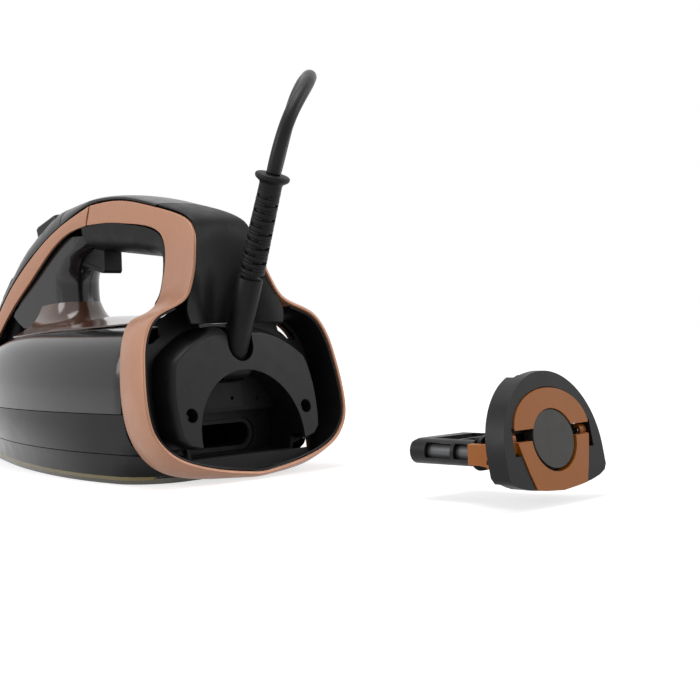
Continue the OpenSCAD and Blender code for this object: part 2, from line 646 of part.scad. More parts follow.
// Two screws deep in the panel's round wells
module heel_screws() {
    color(grey) for (s = [-1, 1]) translate([heel_x - 40, s * screw_y, screw_z])
        rotate([0, 90 - heel_lean, 0]) difference() {
            union() {
                translate([0, 0, 17.1]) cylinder(r = 1.5, h = 9.6);
                translate([0, 0, 17.1 + 2.4 - 2.2]) cylinder(r = 1.5, h = 2);
                translate([0, 0, 19.4 + 0.1]) cylinder(r = 3.2, h = 2.4);
            }
            translate([0, 0, 20.6]) for (a = [0, 90]) rotate([0, 0, a])
                translate([-2.2, -0.4, 0]) cube([4.4, 0.8, 3]);
        }
}

// Closed bay behind the arch: a wall with a raised pad above, the sleeve's recess below
bay_wall = 118.4;
module bay_arch(r, z0, z1) {
    intersection() {
        translate([0, arch_z]) circle(r, $fn = 48);
        translate([-60, z0]) square([120, z1 - z0]);
    }
}
module bay_liner() {
    color(black) difference() {
        union() {
            intersection() {
                along_x(bay_wall, 150) bay_arch(plate_r + 2.9, 11.4, 70);
                heel_slab(-60, -5.4);
            }
            along_x(sleeve_mouth, bay_wall + 1) bay_arch(plate_r + 2.6, 11.6, 38);
        }
        difference() {
            union() {
                along_x(bay_wall + 2, 151) bay_arch(plate_r + 0.9, 12.6, 70);
                along_x(sleeve_mouth + 2, bay_wall + 4) bay_arch(plate_r + 0.7, 12.8, 36);
            }
            along_x(bay_wall, bay_wall + 3.8) hull() {
                translate([-26, 38]) square([1, 14.4]);
                translate([-10, 38]) square([19.6, 1]);
                translate([5.6, 48.4]) circle(4);
            }
        }
        translate([0, 0, sleeve_z]) along_x(sleeve_mouth - 4, sleeve_mouth + 4)
            slot2d(shaft_w + 6.4, shaft_h + 6.4);
        translate([132.3, -60, 0]) cube([30, 120, 21]);
        for (q = [[2.4, 43.2], [22.4, 42]]) along_x(bay_wall + 1, 132) translate(q) circle(1.1);
        relief_frame() ring_y(0, 0, 9.4, -13, 13);
    }
}

module relief_bracket() {
    color(charcoal) difference() {
        for (s = [-1, 1]) {
            ring_y(relief_pivot[0], relief_pivot[2], 5.4, s > 0 ? 9.4 : -12.4, s > 0 ? 12.4 : -9.4);
            translate([relief_pivot[0] - 14, s > 0 ? 9.4 : -12.4, relief_pivot[2] - 4])
                cube([14, 3, 8]);
        }
        ring_y(relief_pivot[0], relief_pivot[2], 3.02, -20, 20);
    }
}

module relief_pin() {
    color(steel) ring_y(relief_pivot[0], relief_pivot[2], 3, -12.4, 12.4);
}

relief_len = 110.5;
module strain_relief() {
    color(black) relief_frame() difference() {
        union() {
            ring_y(0, 0, 7.2, -8.8, 8.8);
            cylinder(r = 7.2, h = 50);
            translate([0, 0, 50]) cylinder(r1 = 7.2, r2 = 6.3, h = 54);
            translate([0, 0, 103.9]) cylinder(r = 6.3, h = relief_len - 104);
            translate([0, 0, relief_len - 5.4]) cylinder(r1 = 6.3, r2 = 9.2, h = 2.6);
            translate([0, 0, relief_len - 2.8]) rotate_extrude() {
                square([8.2, 2.8]);
                translate([8.2, 1.4]) circle(1.4);
            }
        }
        ring_y(0, 0, 3.06, -20, 20);
        for (row = [0 : 11], s = [0, 180])
            translate([0, 0, 53.4 + row * 4]) rotate([0, 0, s + (row % 2) * 90 - 50])
                rotate_extrude(angle = 100) translate([4.9, 0]) square([5, 1.6]);
    }
}

// ---------- controls ----------

module trigger() {
    color(black) {
        difference() {
            along_y(13) polygon([[-8.2, 126.4], [-7.4, 125], [13.6, 119], [15.8, 118.8],
                [17.1, 120.4], [17.2, 134.5], [-8.2, 134.5]]);
            for (s = [-1, 1]) translate([0, s * 6.9, 0]) along_y(1.8)
                polygon([[-4.4, 127], [13, 121.8], [13, 130.4], [-2.4, 130.4]]);
        }
        translate([8, 0, 134.5]) cylinder(r = 3, h = 2.5);
    }
}

module trigger_spring() {
    color(steel) difference() {
        translate([8, 0, 137]) cylinder(r = 2.8, h = 6.4);
        translate([8, 0, 136]) cylinder(r = 2, h = 9);
    }
}

module microswitch() {
    color(charcoal) {
        translate([21, -3.2, 138.6]) cube([19.8, 6.4, 10.2]);
        translate([4, -3.2, 143.4]) cube([17, 6.4, 2]);
        for (k = [0 : 2]) translate([23.5 + 4.6 * k, -1.5, 148.8]) cube([0.6, 3, 2.2]);
    }
}

module press_button(s) {
    button_frame(s) {
        translate([0, 0, -4.4]) linear_extrude(7.2) round_rect(26.4, 9.6, 3.8);
        translate([0, 0, 2.8]) linear_extrude(1) round_rect(25, 8.2, 3.4);
        translate([0, 0, -7]) cylinder(r = 2.2, h = 2.7);
    }
}
module steam_button() { color(smoke) press_button(button_y); }
module spray_button() { color(smoke) press_button(-button_y); }
module button_spring(s) {
    color(steel) button_frame(s) difference() {
        translate([0, 0, -12.4]) cylinder(r = 3.6, h = 8);
        translate([0, 0, -13]) cylinder(r = 2.8, h = 10);
    }
}
module steam_spring() { button_spring(button_y); }
module spray_spring() { button_spring(-button_y); }

module filler_door() {
    color(black) door_frame() difference() {
        union() {
            translate([-2.4, 0, -2.4]) linear_extrude(3.4) round_rect(24, 16.4, 4.4);
            translate([-2.4, 0, 1]) linear_extrude(0.7) round_rect(22, 14.4, 3.8);
            translate([8, -4.8, -2.8]) cube([4.6, 9.6, 3.4]);
            translate([-13.4, -4, 1]) cube([3, 8, 1.6]);
            ring_y(12.6, -2.2, 2.1, -4.8, 4.8);
        }
        ring_y(12.6, -2.2, 1.06, -20, 20);
    }
}
module filler_pin() {
    color(steel) door_frame() ring_y(12.6, -2.2, 1, -6.4, 6.4);
}

module spray_nozzle() {
    color(black) translate([-127, 0, 84]) rotate([0, 90, 0]) difference() {
        union() {
            cylinder(r1 = 3, r2 = 3.9, h = 3);
            translate([0, 0, 3]) cylinder(r = 3.9, h = 11);
        }
        translate([0, 0, -1]) cylinder(r = 0.6, h = 12);
    }
}

module control_board() {
    color([0.1, 0.3, 0.16]) translate([26, -11, 151.5]) cube([56, 22, 1.6]);
    color(charcoal) {
        translate([34, -6, 149.5]) cube([10, 10, 2]);
        translate([54, -4, 147.3]) cube([14, 8, 4.2]);
    }
}

module terminal_block() {
    color([0.8, 0.8, 0.76]) difference() {
        translate([110.5, -58, 44]) cube([9.6, 22, 12]);
        for (k = [0 : 2]) translate([100, -54 + k * 7, 50]) rotate([0, 90, 0])
            cylinder(r = 2, h = 30);
    }
}

// ---------- mains cord ----------

// Where the free cord runs, from the strain relief over to the coil behind the iron
cord_route = [[165, 0, 164], [168, 0, 172], [170.4, 0.6, 178.6], [172.2, 2.8, 187],
    [172.6, 7.2, 195.8], [171.2, 14, 204.2], [167.4, 22.8, 211.8], [160.6, 33, 218.6],
    [150.8, 43.6, 223.4], [138.6, 53.2, 225.6], [125.6, 61.4, 224.4], [113.4, 67.6, 219.2],
    [103, 71.8, 209.8], [94.6, 74.2, 197.4], [87.2, 75.2, 183], [79.8, 75.2, 167],
    [72, 75.4, 149], [64, 76.4, 130], [55.4, 78.4, 111.4], [46, 81, 93.6], [36, 83.8, 77],
    [25, 86, 61.8], [13, 86.8, 49], [0, 86, 39], [-13, 84.5, 32.8]];

// Tube of n sides swept along points p
function frame_at(t, up) = let (a = unit(cross(t, up))) [a, cross(a, t)];
function tube_rings(p, r, n, up) = [for (i = [0 : len(p) - 1])
    let (t = i == 0 ? p[1] - p[0] : i == len(p) - 1 ? p[i] - p[i - 1] : unit(p[i + 1] - p[i])
        + unit(p[i] - p[i - 1]), f = frame_at(unit(t), up))
    [for (k = [0 : n - 1]) let (a = 360 * (k + 0.5) / n) p[i] + r * (cos(a) * f[0] + sin(a) * f[1])]];

relief_axis = [sin(relief_tilt), 0, cos(relief_tilt)];
cord_exit = relief_pivot + relief_len * relief_axis;
coil_c = [-40, 132];
coil_base = 5.3;
coil_start_z = coil_base + 3 * coil_layer;
coil_start = [coil_c[0] + cord_d, coil_c[1] - coil_r, coil_start_z];
lead_points = concat([cord_exit, cord_exit + cord_d * relief_axis],
    [for (i = [2 : len(cord_route) - 1]) cord_route[i]],
    [coil_start + [cord_d, 0, 0], coil_start]);
module cord_lead() {
    color(black) loft(tube_rings(lead_points, cord_d / 2, 8, [0.62, 0.78, 0]));
}

// Turn t of the coil: four layers, in and out again, with half a turn to change layer
coil_half = coil_turns + 0.5;
coil_total = 4 * coil_turns + 1.5;
function coil_radius(t) =
    let (k = floor(t / coil_half), u = t - k * coil_half, inward = k % 2 == 0,
        deep = coil_r - coil_pitch * coil_turns,
        dip = u > coil_turns ? coil_pitch / 2 * (0.25 - pow(u - coil_turns - 0.25, 2) * 4) : 0,
        run = coil_pitch * min(u, coil_turns))
    inward ? coil_r - run - dip : deep + run + dip;
function coil_height(t) =
    let (k = floor(t / coil_half), u = t - k * coil_half,
        end = ease((t - coil_total + 0.25) / 0.25) * 0.9)
    coil_start_z - coil_layer * (k + (u > coil_turns ? (u - coil_turns) / 0.5 : 0)) + end;
coil_path = [for (i = [0 : round(coil_total * 24)]) let (t = i / 24, a = -90 - 360 * t)
    [coil_c[0] + coil_radius(t) * cos(a), coil_c[1] + coil_radius(t) * sin(a), coil_height(t)]];
coil_last = coil_path[len(coil_path) - 1];
coil_points = concat([coil_start], coil_path, [coil_last - [cord_d, 0, 0]]);
coil_gap = min([for (i = [0 : len(coil_path) - 13], j = [i + 12 : len(coil_path) - 1])
    norm(coil_path[i] - coil_path[j])]) - cord_d;
coil_length = total([for (i = [1 : len(coil_points) - 1]) norm(coil_points[i] - coil_points[i - 1])]);
lead_length = total([for (i = [1 : len(lead_points) - 1]) norm(lead_points[i] - lead_points[i - 1])]);
echo(coil_least_gap = coil_gap, coil_length = coil_length, lead_length = lead_length);
module cord_coil() {
    color(black) loft(tube_rings(coil_points, cord_d / 2, 6, [0, 0, 1]));
}

// Tie round the coil on its far side
module cord_tie() {
    mid_r = coil_r - coil_pitch * coil_turns / 2;
    w = coil_pitch * (coil_turns + 0.5) + cord_d + 3.4;
    h = 3 * coil_layer + cord_d + 4;
    color(charcoal) translate([coil_c[0] - 6, coil_c[1] + mid_r, 0.1 + h / 2])
        along_x(0, 12) difference() {
            round_rect(w, h, 5);
            round_rect(w - 2.2, h - 2.2, 4);
        }
}

plug_x = coil_last[0] - cord_d;
plug_y = coil_last[1];
plug_z = coil_last[2];
module plug() {
    color(black) difference() {
        union() {
            translate([plug_x - 52, plug_y, 0.2]) cylinder(r = 18.5, h = 15);
            translate([plug_x - 52, plug_y, 15.2]) cylinder(r1 = 18.5, r2 = 16.8, h = 3);
            translate([plug_x - 30, plug_y, plug_z]) rotate([0, 90, 0])
                cylinder(r1 = 6.2, r2 = 5, h = 30);
            translate([plug_x - 44, plug_y - 9, 0.2]) cube([16, 18, 12.6]);
        }
        for (s = [-1, 1]) translate([plug_x - 52, plug_y + s * 18.5, 9]) cylinder(r = 2.6, h = 20);
        translate([plug_x - 52 - 12, plug_y, 12]) cylinder(r = 2.4, h = 20);
        for (s = [-1, 1]) translate([plug_x - 52, plug_y + s * 9.5, 12]) cylinder(r = 2.2, h = 10);
    }
}
module plug_pins() {
    color(steel) for (s = [-1, 1]) translate([plug_x - 52, plug_y + s * 9.5, 0]) {
        translate([0, 0, 12]) cylinder(r = 2.2, h = 6.2);
        translate([0, 0, 18.2]) cylinder(r = 2.4, h = 16.8);
        translate([0, 0, 35]) cylinder(r1 = 2.4, r2 = 1.4, h = 2.2);
    }
}

// ---------- scale collector, drawn out of its bay ----------

plate_half = [[0, 6], [12, 6.9], [23, 8.2], [30, 9.8], [34.4, 11.6], [plate_r, 14.2]];
module plate2d(inset) {
    intersection() {
        union() {
            translate([0, arch_z]) circle(plate_r - inset, $fn = 96);
            translate([-(plate_r - inset), 0]) square([2 * (plate_r - inset), arch_z]);
        }
        polygon(concat([for (p = plate_half) [p[0], p[1]]], [[40, 14.8], [40, 70], [-40, 70],
            [-40, 14.8]], [for (i = [len(plate_half) - 1 : -1 : 1]) [-plate_half[i][0],
            plate_half[i][1]]]));
    }
}
lever_z = 30;
lever_x = heel_x - lever_z * lean - 7.4;
orange_r = 28.8;
badge_z = 28.6;
badge_w = 15;
badge_h = 13;
module drawn_out() {
    translate([collector_out, 0, 0]) children();
}
// Oval of the inlay and the lever together, cut off by the plate's lower edge
function orange_side(grow) = concat(
    [for (a = [90 : -6 : 6]) [(27.6 + grow) * cos(a), 33 + (18.1 + grow) * sin(a)]],
    [for (q = [[27.6, 33], [26.9, 30], [24.9, 23.5], [21.9, 15], [18.6, 7.4], [16.4, 1]])
        [q[0] + grow, q[1]]]);
module inlay2d(grow) {
    h = orange_side(grow);
    polygon(concat(h, [for (i = [len(h) - 1 : -1 : 1]) [-h[i][0], h[i][1]]]));
}
module badge2d(grow) {
    polygon([for (a = [0 : 6 : 354]) [(badge_w + grow) * cos(a), badge_z + (badge_h + grow) * sin(a)]]);
}
module orange2d(hole) {
    difference() {
        inlay2d(0);
        badge2d(hole);
    }
}

module collector_plate() {
    color(black) drawn_out() difference() {
        intersection() {
            along_x(100, 170) plate2d(0);
            heel_slab(-12, -2);
        }
        intersection() {
            along_x(100, 170) inlay2d(0.4);
            heel_slab(-7.2, 5);
        }
        intersection() {
            along_x(90, 170) difference() {
                plate2d(2.4);
                translate([-25, 8]) square([50, 26]);
            }
            heel_slab(-20, -9.6);
        }
        for (y = [-orange_r - 0.4, orange_r - 5]) translate([lever_x - 4.2, y, lever_z - 7])
            cube([12, 5.4, 12]);
        ring_y(lever_x, lever_z, 1.82, -32, 32);
        ring_y(relief_pivot[0], relief_pivot[2], 8, -10, 10);
        translate([100, -12.9, 55]) cube([31, 25.8, 20]);
    }
}

module collector_inlay() {
    color(orange) drawn_out() difference() {
        intersection() {
            along_x(100, 170) orange2d(0.4);
            heel_slab(-7.1, -1.5);
            translate([100, -60, lever_z + 0.6]) cube([80, 120, 60]);
        }
        ring_y(lever_x, lever_z, 6.5, -40, 40);
    }
}

module collector_badge() {
    color(charcoal) drawn_out() intersection() {
        along_x(100, 170) badge2d(0);
        heel_slab(-7.1, -1.9);
    }
}

module pull_lever() {
    color(orange) drawn_out() difference() {
        union() {
            intersection() {
                along_x(100, 170) intersection() {
                    orange2d(1.4);
                    plate2d(0);
                }
                heel_slab(-5.2, -1.5);
                translate([100, -60, 0]) cube([80, 120, lever_z - 1.2]);
            }
            for (s = [-1, 1]) ring_y(lever_x, lever_z, 3.2, s > 0 ? 24.2 : -28.6, s > 0 ? 28.6 : -24.2);
            for (s = [-1, 1]) translate([lever_x - 2, s > 0 ? 24.2 : -28.6, lever_z - 6])
                cube([6.4, 4.4, 5]);
        }
        ring_y(lever_x, lever_z, 1.84, -40, 40);
    }
}

module lever_pins() {
    color(steel) drawn_out() {
        ring_y(lever_x, lever_z, 1.8, -31.6, -24);
        ring_y(lever_x, lever_z, 1.8, 24, 31.6);
    }
}

shaft_tip = 76;
module collector_arms() {
    color(orange) drawn_out() for (s = [-1, 1]) {
        y0 = s > 0 ? shaft_w / 2 + 0.4 : -shaft_w / 2 - 4.6;
        translate([0, y0, 0]) difference() {
            union() {
                translate([0, 4.2, 0]) rotate([90, 0, 0]) linear_extrude(4.2)
                    polygon([[114.4, 17.8], [121, 17.8], [124, 17.4], [134, 12.4], [140, 12.4],
                        [140, 28.4], [132, 28.2], [121, 27.2], [114.4, 27.2]]);
            }
            translate([0, -y0, 0]) heel_slab(-12.05, 20);
            translate([125, s > 0 ? 1.4 : -1, 23.2]) cube([18, 3.8, 2.6]);
            translate([0, s > 0 ? 5.2 : 2.8, 0]) rotate([90, 0, 0]) linear_extrude(3.8)
                polygon([[125, 20.4], [140, 20.4], [140, 14.6], [134.6, 14.6], [125, 18.6]]);
        }
    }
}

module collector_frame() {
    color(black) drawn_out() translate([0, 0, sleeve_z]) difference() {
        union() {
            along_x(shaft_tip, 140) slot2d(shaft_w, shaft_h);
            for (q = [[118.5, 3.6, 1.6], [124, 5, 2.6]]) translate([q[0], -8, -shaft_h / 2 - q[2]])
                hull() {
                    translate([0, 0, 1]) cube([q[1], 16, q[2]]);
                    translate([1, 0, 0]) cube([q[1] - 2.4, 16, 1]);
                }
            translate([130.6, -9, -shaft_h / 2 - 3.6]) hull() {
                translate([0, 0, 2.4]) cube([9, 18, 3]);
                translate([2.4, 0, 0]) cube([6.6, 18, 1]);
            }
            along_x(116, 118.2) intersection() {
                slot2d(shaft_w + 5, shaft_h + 5.2);
                translate([-(shaft_w - 1) / 2, 1.6]) square([shaft_w - 1, 20]);
            }
        }
        translate([0, 0, -sleeve_z]) heel_slab(-12.05, 20);
        along_x(shaft_tip + 7, 141) slot2d(shaft_w - 4.4, shaft_h - 3.6);
        for (x = [shaft_tip + 9, shaft_tip + 26]) {
            translate([x, -30, -2.6]) cube([15, 60, 7]);
            translate([x, -15, 0]) cube([15, 30, 10]);
        }
        translate([119.6, -9.2, 1]) cube([30, 18.4, 10]);
        translate([shaft_tip - 1, -30, 3.4]) rotate([0, -42, 0]) cube([12, 60, 12]);
    }
}

module scale_tray() {
    color(grey) drawn_out() translate([0, 0, sleeve_z]) {
        difference() {
            along_x(shaft_tip + 7.4, 140) slot2d(shaft_w - 5, shaft_h - 4.2);
            translate([shaft_tip + 10, -12, -1]) cube([26, 24, 10]);
            translate([0, 0, -sleeve_z]) heel_slab(-12.3, 20);
        }
        difference() {
            translate([0, 9, 0]) rotate([90, 0, 0]) linear_extrude(18)
                polygon([[119.8, 3], [119.8, 7], [126, 11.4], [128.6, 13], [136, 13], [136, 3]]);
            translate([0, 0, -sleeve_z]) heel_slab(-12.3, 20);
        }
    }
}

module collector_seal() {
    color(black) drawn_out() translate([0, 0, sleeve_z]) along_x(113.2, 114.1) difference() {
        slot2d(shaft_w + 3.4, shaft_h + 3.4);
        slot2d(shaft_w + 0.02, shaft_h + 0.02);
    }
}

soleplate();
heater_casting();
heating_element();
steam_chamber_cover();
collector_sleeve();
sleeve_seal();
thermostat();
thermal_fuse();
chassis();
chassis_posts();
skirt();
skirt_trim();
lower_housing();
water_tank();
tank_saddle();
front_post();
pump();
water_hose();
nose_cover();
handle_top();
grip_lower();
front_trim_left();
front_trim_right();
rear_frame();
frame_lining();
rear_cover();
rear_bulkhead();
heel_panel();
heel_screws();
bay_liner();
control_board();
terminal_block();
trigger();
trigger_spring();
microswitch();
steam_button();
steam_spring();
spray_button();
spray_spring();
filler_door();
filler_pin();
filler_neck();
spray_nozzle();
relief_bracket();
relief_pin();
strain_relief();
cord_lead();
cord_coil();
cord_tie();
plug();
plug_pins();
collector_plate();
collector_inlay();
collector_badge();
pull_lever();
lever_pins();
collector_arms();
collector_frame();
scale_tray();
collector_seal();
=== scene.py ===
import bpy, bmesh, json, math
from mathutils import Matrix, Vector


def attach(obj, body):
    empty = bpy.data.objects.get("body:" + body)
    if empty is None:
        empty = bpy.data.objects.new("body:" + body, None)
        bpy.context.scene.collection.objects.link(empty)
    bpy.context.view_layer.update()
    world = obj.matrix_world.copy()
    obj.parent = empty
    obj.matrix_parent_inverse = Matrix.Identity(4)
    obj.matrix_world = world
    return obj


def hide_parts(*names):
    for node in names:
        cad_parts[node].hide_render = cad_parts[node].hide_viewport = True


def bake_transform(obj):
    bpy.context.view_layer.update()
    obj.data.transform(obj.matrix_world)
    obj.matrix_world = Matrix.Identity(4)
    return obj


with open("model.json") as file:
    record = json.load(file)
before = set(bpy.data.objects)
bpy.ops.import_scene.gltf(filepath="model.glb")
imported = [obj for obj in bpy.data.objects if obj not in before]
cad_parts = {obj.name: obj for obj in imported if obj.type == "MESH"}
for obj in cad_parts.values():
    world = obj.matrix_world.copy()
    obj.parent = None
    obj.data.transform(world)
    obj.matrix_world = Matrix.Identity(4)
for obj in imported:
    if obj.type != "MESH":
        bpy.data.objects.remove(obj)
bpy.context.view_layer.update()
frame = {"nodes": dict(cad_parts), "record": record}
nodes = frame["nodes"]
print("frame loaded:", len(nodes), "nodes")

# small helpers; lengths are millimetres until a mesh is made

def mix(a, b, t):
    return a + (b - a) * t

def clamp(t, low=0.0, high=1.0):
    return min(high, max(low, t))

def ease(t):
    t = clamp(t)
    return t * t * (3 - 2 * t)

def srgb(r, g, b):
    # 0-255 display colour to the linear value a shader wants
    return tuple((c / 12.92 if c <= 0.04045 else ((c + 0.055) / 1.055) ** 2.4)
                 for c in (r / 255, g / 255, b / 255)) + (1.0,)

def spline(points, steps):
    # Catmull-Rom through every point, the same curve as the solids follow
    pts = [Vector(p) for p in points]
    made = []
    for i in range(len(pts) - 1):
        a, b, c = pts[max(i - 1, 0)], pts[i], pts[i + 1]
        d = pts[min(i + 2, len(pts) - 1)]
        for k in range(steps):
            t = k / steps
            made.append(0.5 * (2 * b + (c - a) * t + (2 * a - 5 * b + 4 * c - d) * t * t
                               + (3 * b - a - 3 * c + d) * t ** 3))
    made.append(pts[-1])
    return made

def pathLength(points):
    return sum((Vector(b) - Vector(a)).length for a, b in zip(points, points[1:]))

def meshPiece(name, points, faces, smooth=True, scale=0.001):
    mesh = bpy.data.meshes.new(name)
    mesh.from_pydata([tuple(c * scale for c in p) for p in points], [], faces)
    mesh.validate()
    mesh.polygons.foreach_set("use_smooth", [smooth] * len(mesh.polygons))
    piece = bpy.data.objects.new(name, mesh)
    bpy.context.scene.collection.objects.link(piece)
    return piece

def applyModifiers(piece):
    # the evaluated shape becomes the piece's own plain mesh
    bpy.context.view_layer.update()
    graph = bpy.context.evaluated_depsgraph_get()
    made = bpy.data.meshes.new_from_object(piece.evaluated_get(graph))
    piece.modifiers.clear()
    piece.data = made
    return piece

def dress(piece, body, slot, material, *standsFor):
    piece.data.materials.clear()
    piece.data.materials.append(material)
    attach(piece, body)
    if standsFor:
        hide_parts(*standsFor)
    return piece

# metres and degrees, the sensor in millimetres; azimuth 0 looks from -Y and 90 from +X
cameraPlace = {"azimuth": 44.34, "elevation": 0.95, "roll": -1.86, "at": (0.680, -0.4725, 0.0801),
               "focalPixels": 1300.0, "imagePixels": 700, "sensor": 36.0, "clip": (0.02, 40.0)}

def makeCamera(s):
    a, e, r = (math.radians(s[k]) for k in ("azimuth", "elevation", "roll"))
    back = Vector((math.sin(a) * math.cos(e), -math.cos(a) * math.cos(e), math.sin(e)))
    right = Vector((math.cos(a), math.sin(a), 0))
    up = back.cross(right)
    x = right * math.cos(r) + up * math.sin(r)
    y = -right * math.sin(r) + up * math.cos(r)
    lens = bpy.data.cameras.new("camera")
    lens.sensor_width = s["sensor"]
    lens.lens = s["focalPixels"] / s["imagePixels"] * s["sensor"]
    lens.clip_start, lens.clip_end = s["clip"]
    camera = bpy.data.objects.new("camera", lens)
    bpy.context.scene.collection.objects.link(camera)
    place = s["at"]
    camera.matrix_world = Matrix(((x.x, y.x, back.x, place[0]), (x.y, y.y, back.y, place[1]),
                                  (x.z, y.z, back.z, place[2]), (0, 0, 0, 1)))
    bpy.context.scene.camera = camera

makeCamera(cameraPlace)

# sizes inside a look are millimetres on the object; colours are display colours, 0-255

def surface(name, look):
    material = bpy.data.materials.new(name)
    material.use_nodes = True
    tree = material.node_tree
    shader = tree.nodes["Principled BSDF"]
    coords = tree.nodes.new("ShaderNodeTexCoord").outputs["Object"]
    if look.get("stretch"):
        mapping = tree.nodes.new("ShaderNodeMapping")
        mapping.inputs["Scale"].default_value = look["stretch"]
        tree.links.new(coords, mapping.inputs["Vector"])
        coords = mapping.outputs["Vector"]

    def noise(size, detail=3.0, distortion=0.0):
        node = tree.nodes.new("ShaderNodeTexNoise")
        node.inputs["Scale"].default_value = 1000.0 / size
        node.inputs["Detail"].default_value = detail
        node.inputs["Distortion"].default_value = distortion
        tree.links.new(coords, node.inputs["Vector"])
        return node.outputs["Fac"]

    def blendColour(factor, a, b):
        node = tree.nodes.new("ShaderNodeMix")
        node.data_type = "RGBA"
        tree.links.new(factor, node.inputs[0])
        for socket, value in ((node.inputs[6], a), (node.inputs[7], b)):
            if isinstance(value, tuple):
                socket.default_value = value
            else:
                tree.links.new(value, socket)
        return node.outputs[2]

    def spread(factor, low, high, start=0.3, stop=0.7):
        node = tree.nodes.new("ShaderNodeMapRange")
        for k, value in zip((1, 2, 3, 4), (start, stop, low, high)):
            node.inputs[k].default_value = value
        tree.links.new(factor, node.inputs[0])
        return node.outputs[0]

    base = srgb(*look["colour"])
    tone = look.get("tone", 0.12)
    dark = tuple(c * (1 - tone) for c in base[:3]) + (1.0,)
    light = tuple(min(1.0, c * (1 + tone)) for c in base[:3]) + (1.0,)
    colour = blendColour(noise(look.get("toneSize", 28.0), 4.0, 0.4), dark, light)
    if look.get("flake"):
        cells = tree.nodes.new("ShaderNodeTexVoronoi")
        cells.inputs["Scale"].default_value = 1000.0 / look.get("flakeSize", 0.35)
        tree.links.new(coords, cells.inputs["Vector"])
        bright = tuple(min(1.0, c * (1 + look["flake"])) for c in base[:3]) + (1.0,)
        flecks = spread(cells.outputs["Color"], 0.0, 0.55, 0.35, 0.95)
        colour = blendColour(flecks, colour, bright)
    if look.get("dust"):
        # fine pale dust, thicker in patches
        specks = spread(noise(0.9, 2.0), 0.0, look["dust"], 0.62, 0.8)
        colour = blendColour(specks, colour, srgb(176, 172, 166))
    tree.links.new(colour, shader.inputs["Base Color"])
    rough, roughSpread = look.get("rough", 0.5), look.get("roughSpread", 0.06)
    roughNoise = noise(look.get("roughSize", 9.0), 5.0)
    tree.links.new(spread(roughNoise, rough - roughSpread, rough + roughSpread),
                   shader.inputs["Roughness"])
    if look.get("grain"):
        bump = tree.nodes.new("ShaderNodeBump")
        bump.inputs["Strength"].default_value = look.get("grainStrength", 0.5)
        bump.inputs["Distance"].default_value = look["grain"] / 1000.0
        tree.links.new(noise(look.get("grainSize", 0.6), 2.0), bump.inputs["Height"])
        tree.links.new(bump.outputs["Normal"], shader.inputs["Normal"])
    shader.inputs["Metallic"].default_value = look.get("metal", 0.0)
    shader.inputs["Specular IOR Level"].default_value = look.get("specular", 0.5)
    shader.inputs["Coat Weight"].default_value = look.get("coat", 0.0)
    shader.inputs["Coat Roughness"].default_value = look.get("coatRough", 0.08)
    shader.inputs["Sheen Weight"].default_value = look.get("sheen", 0.0)
    return material

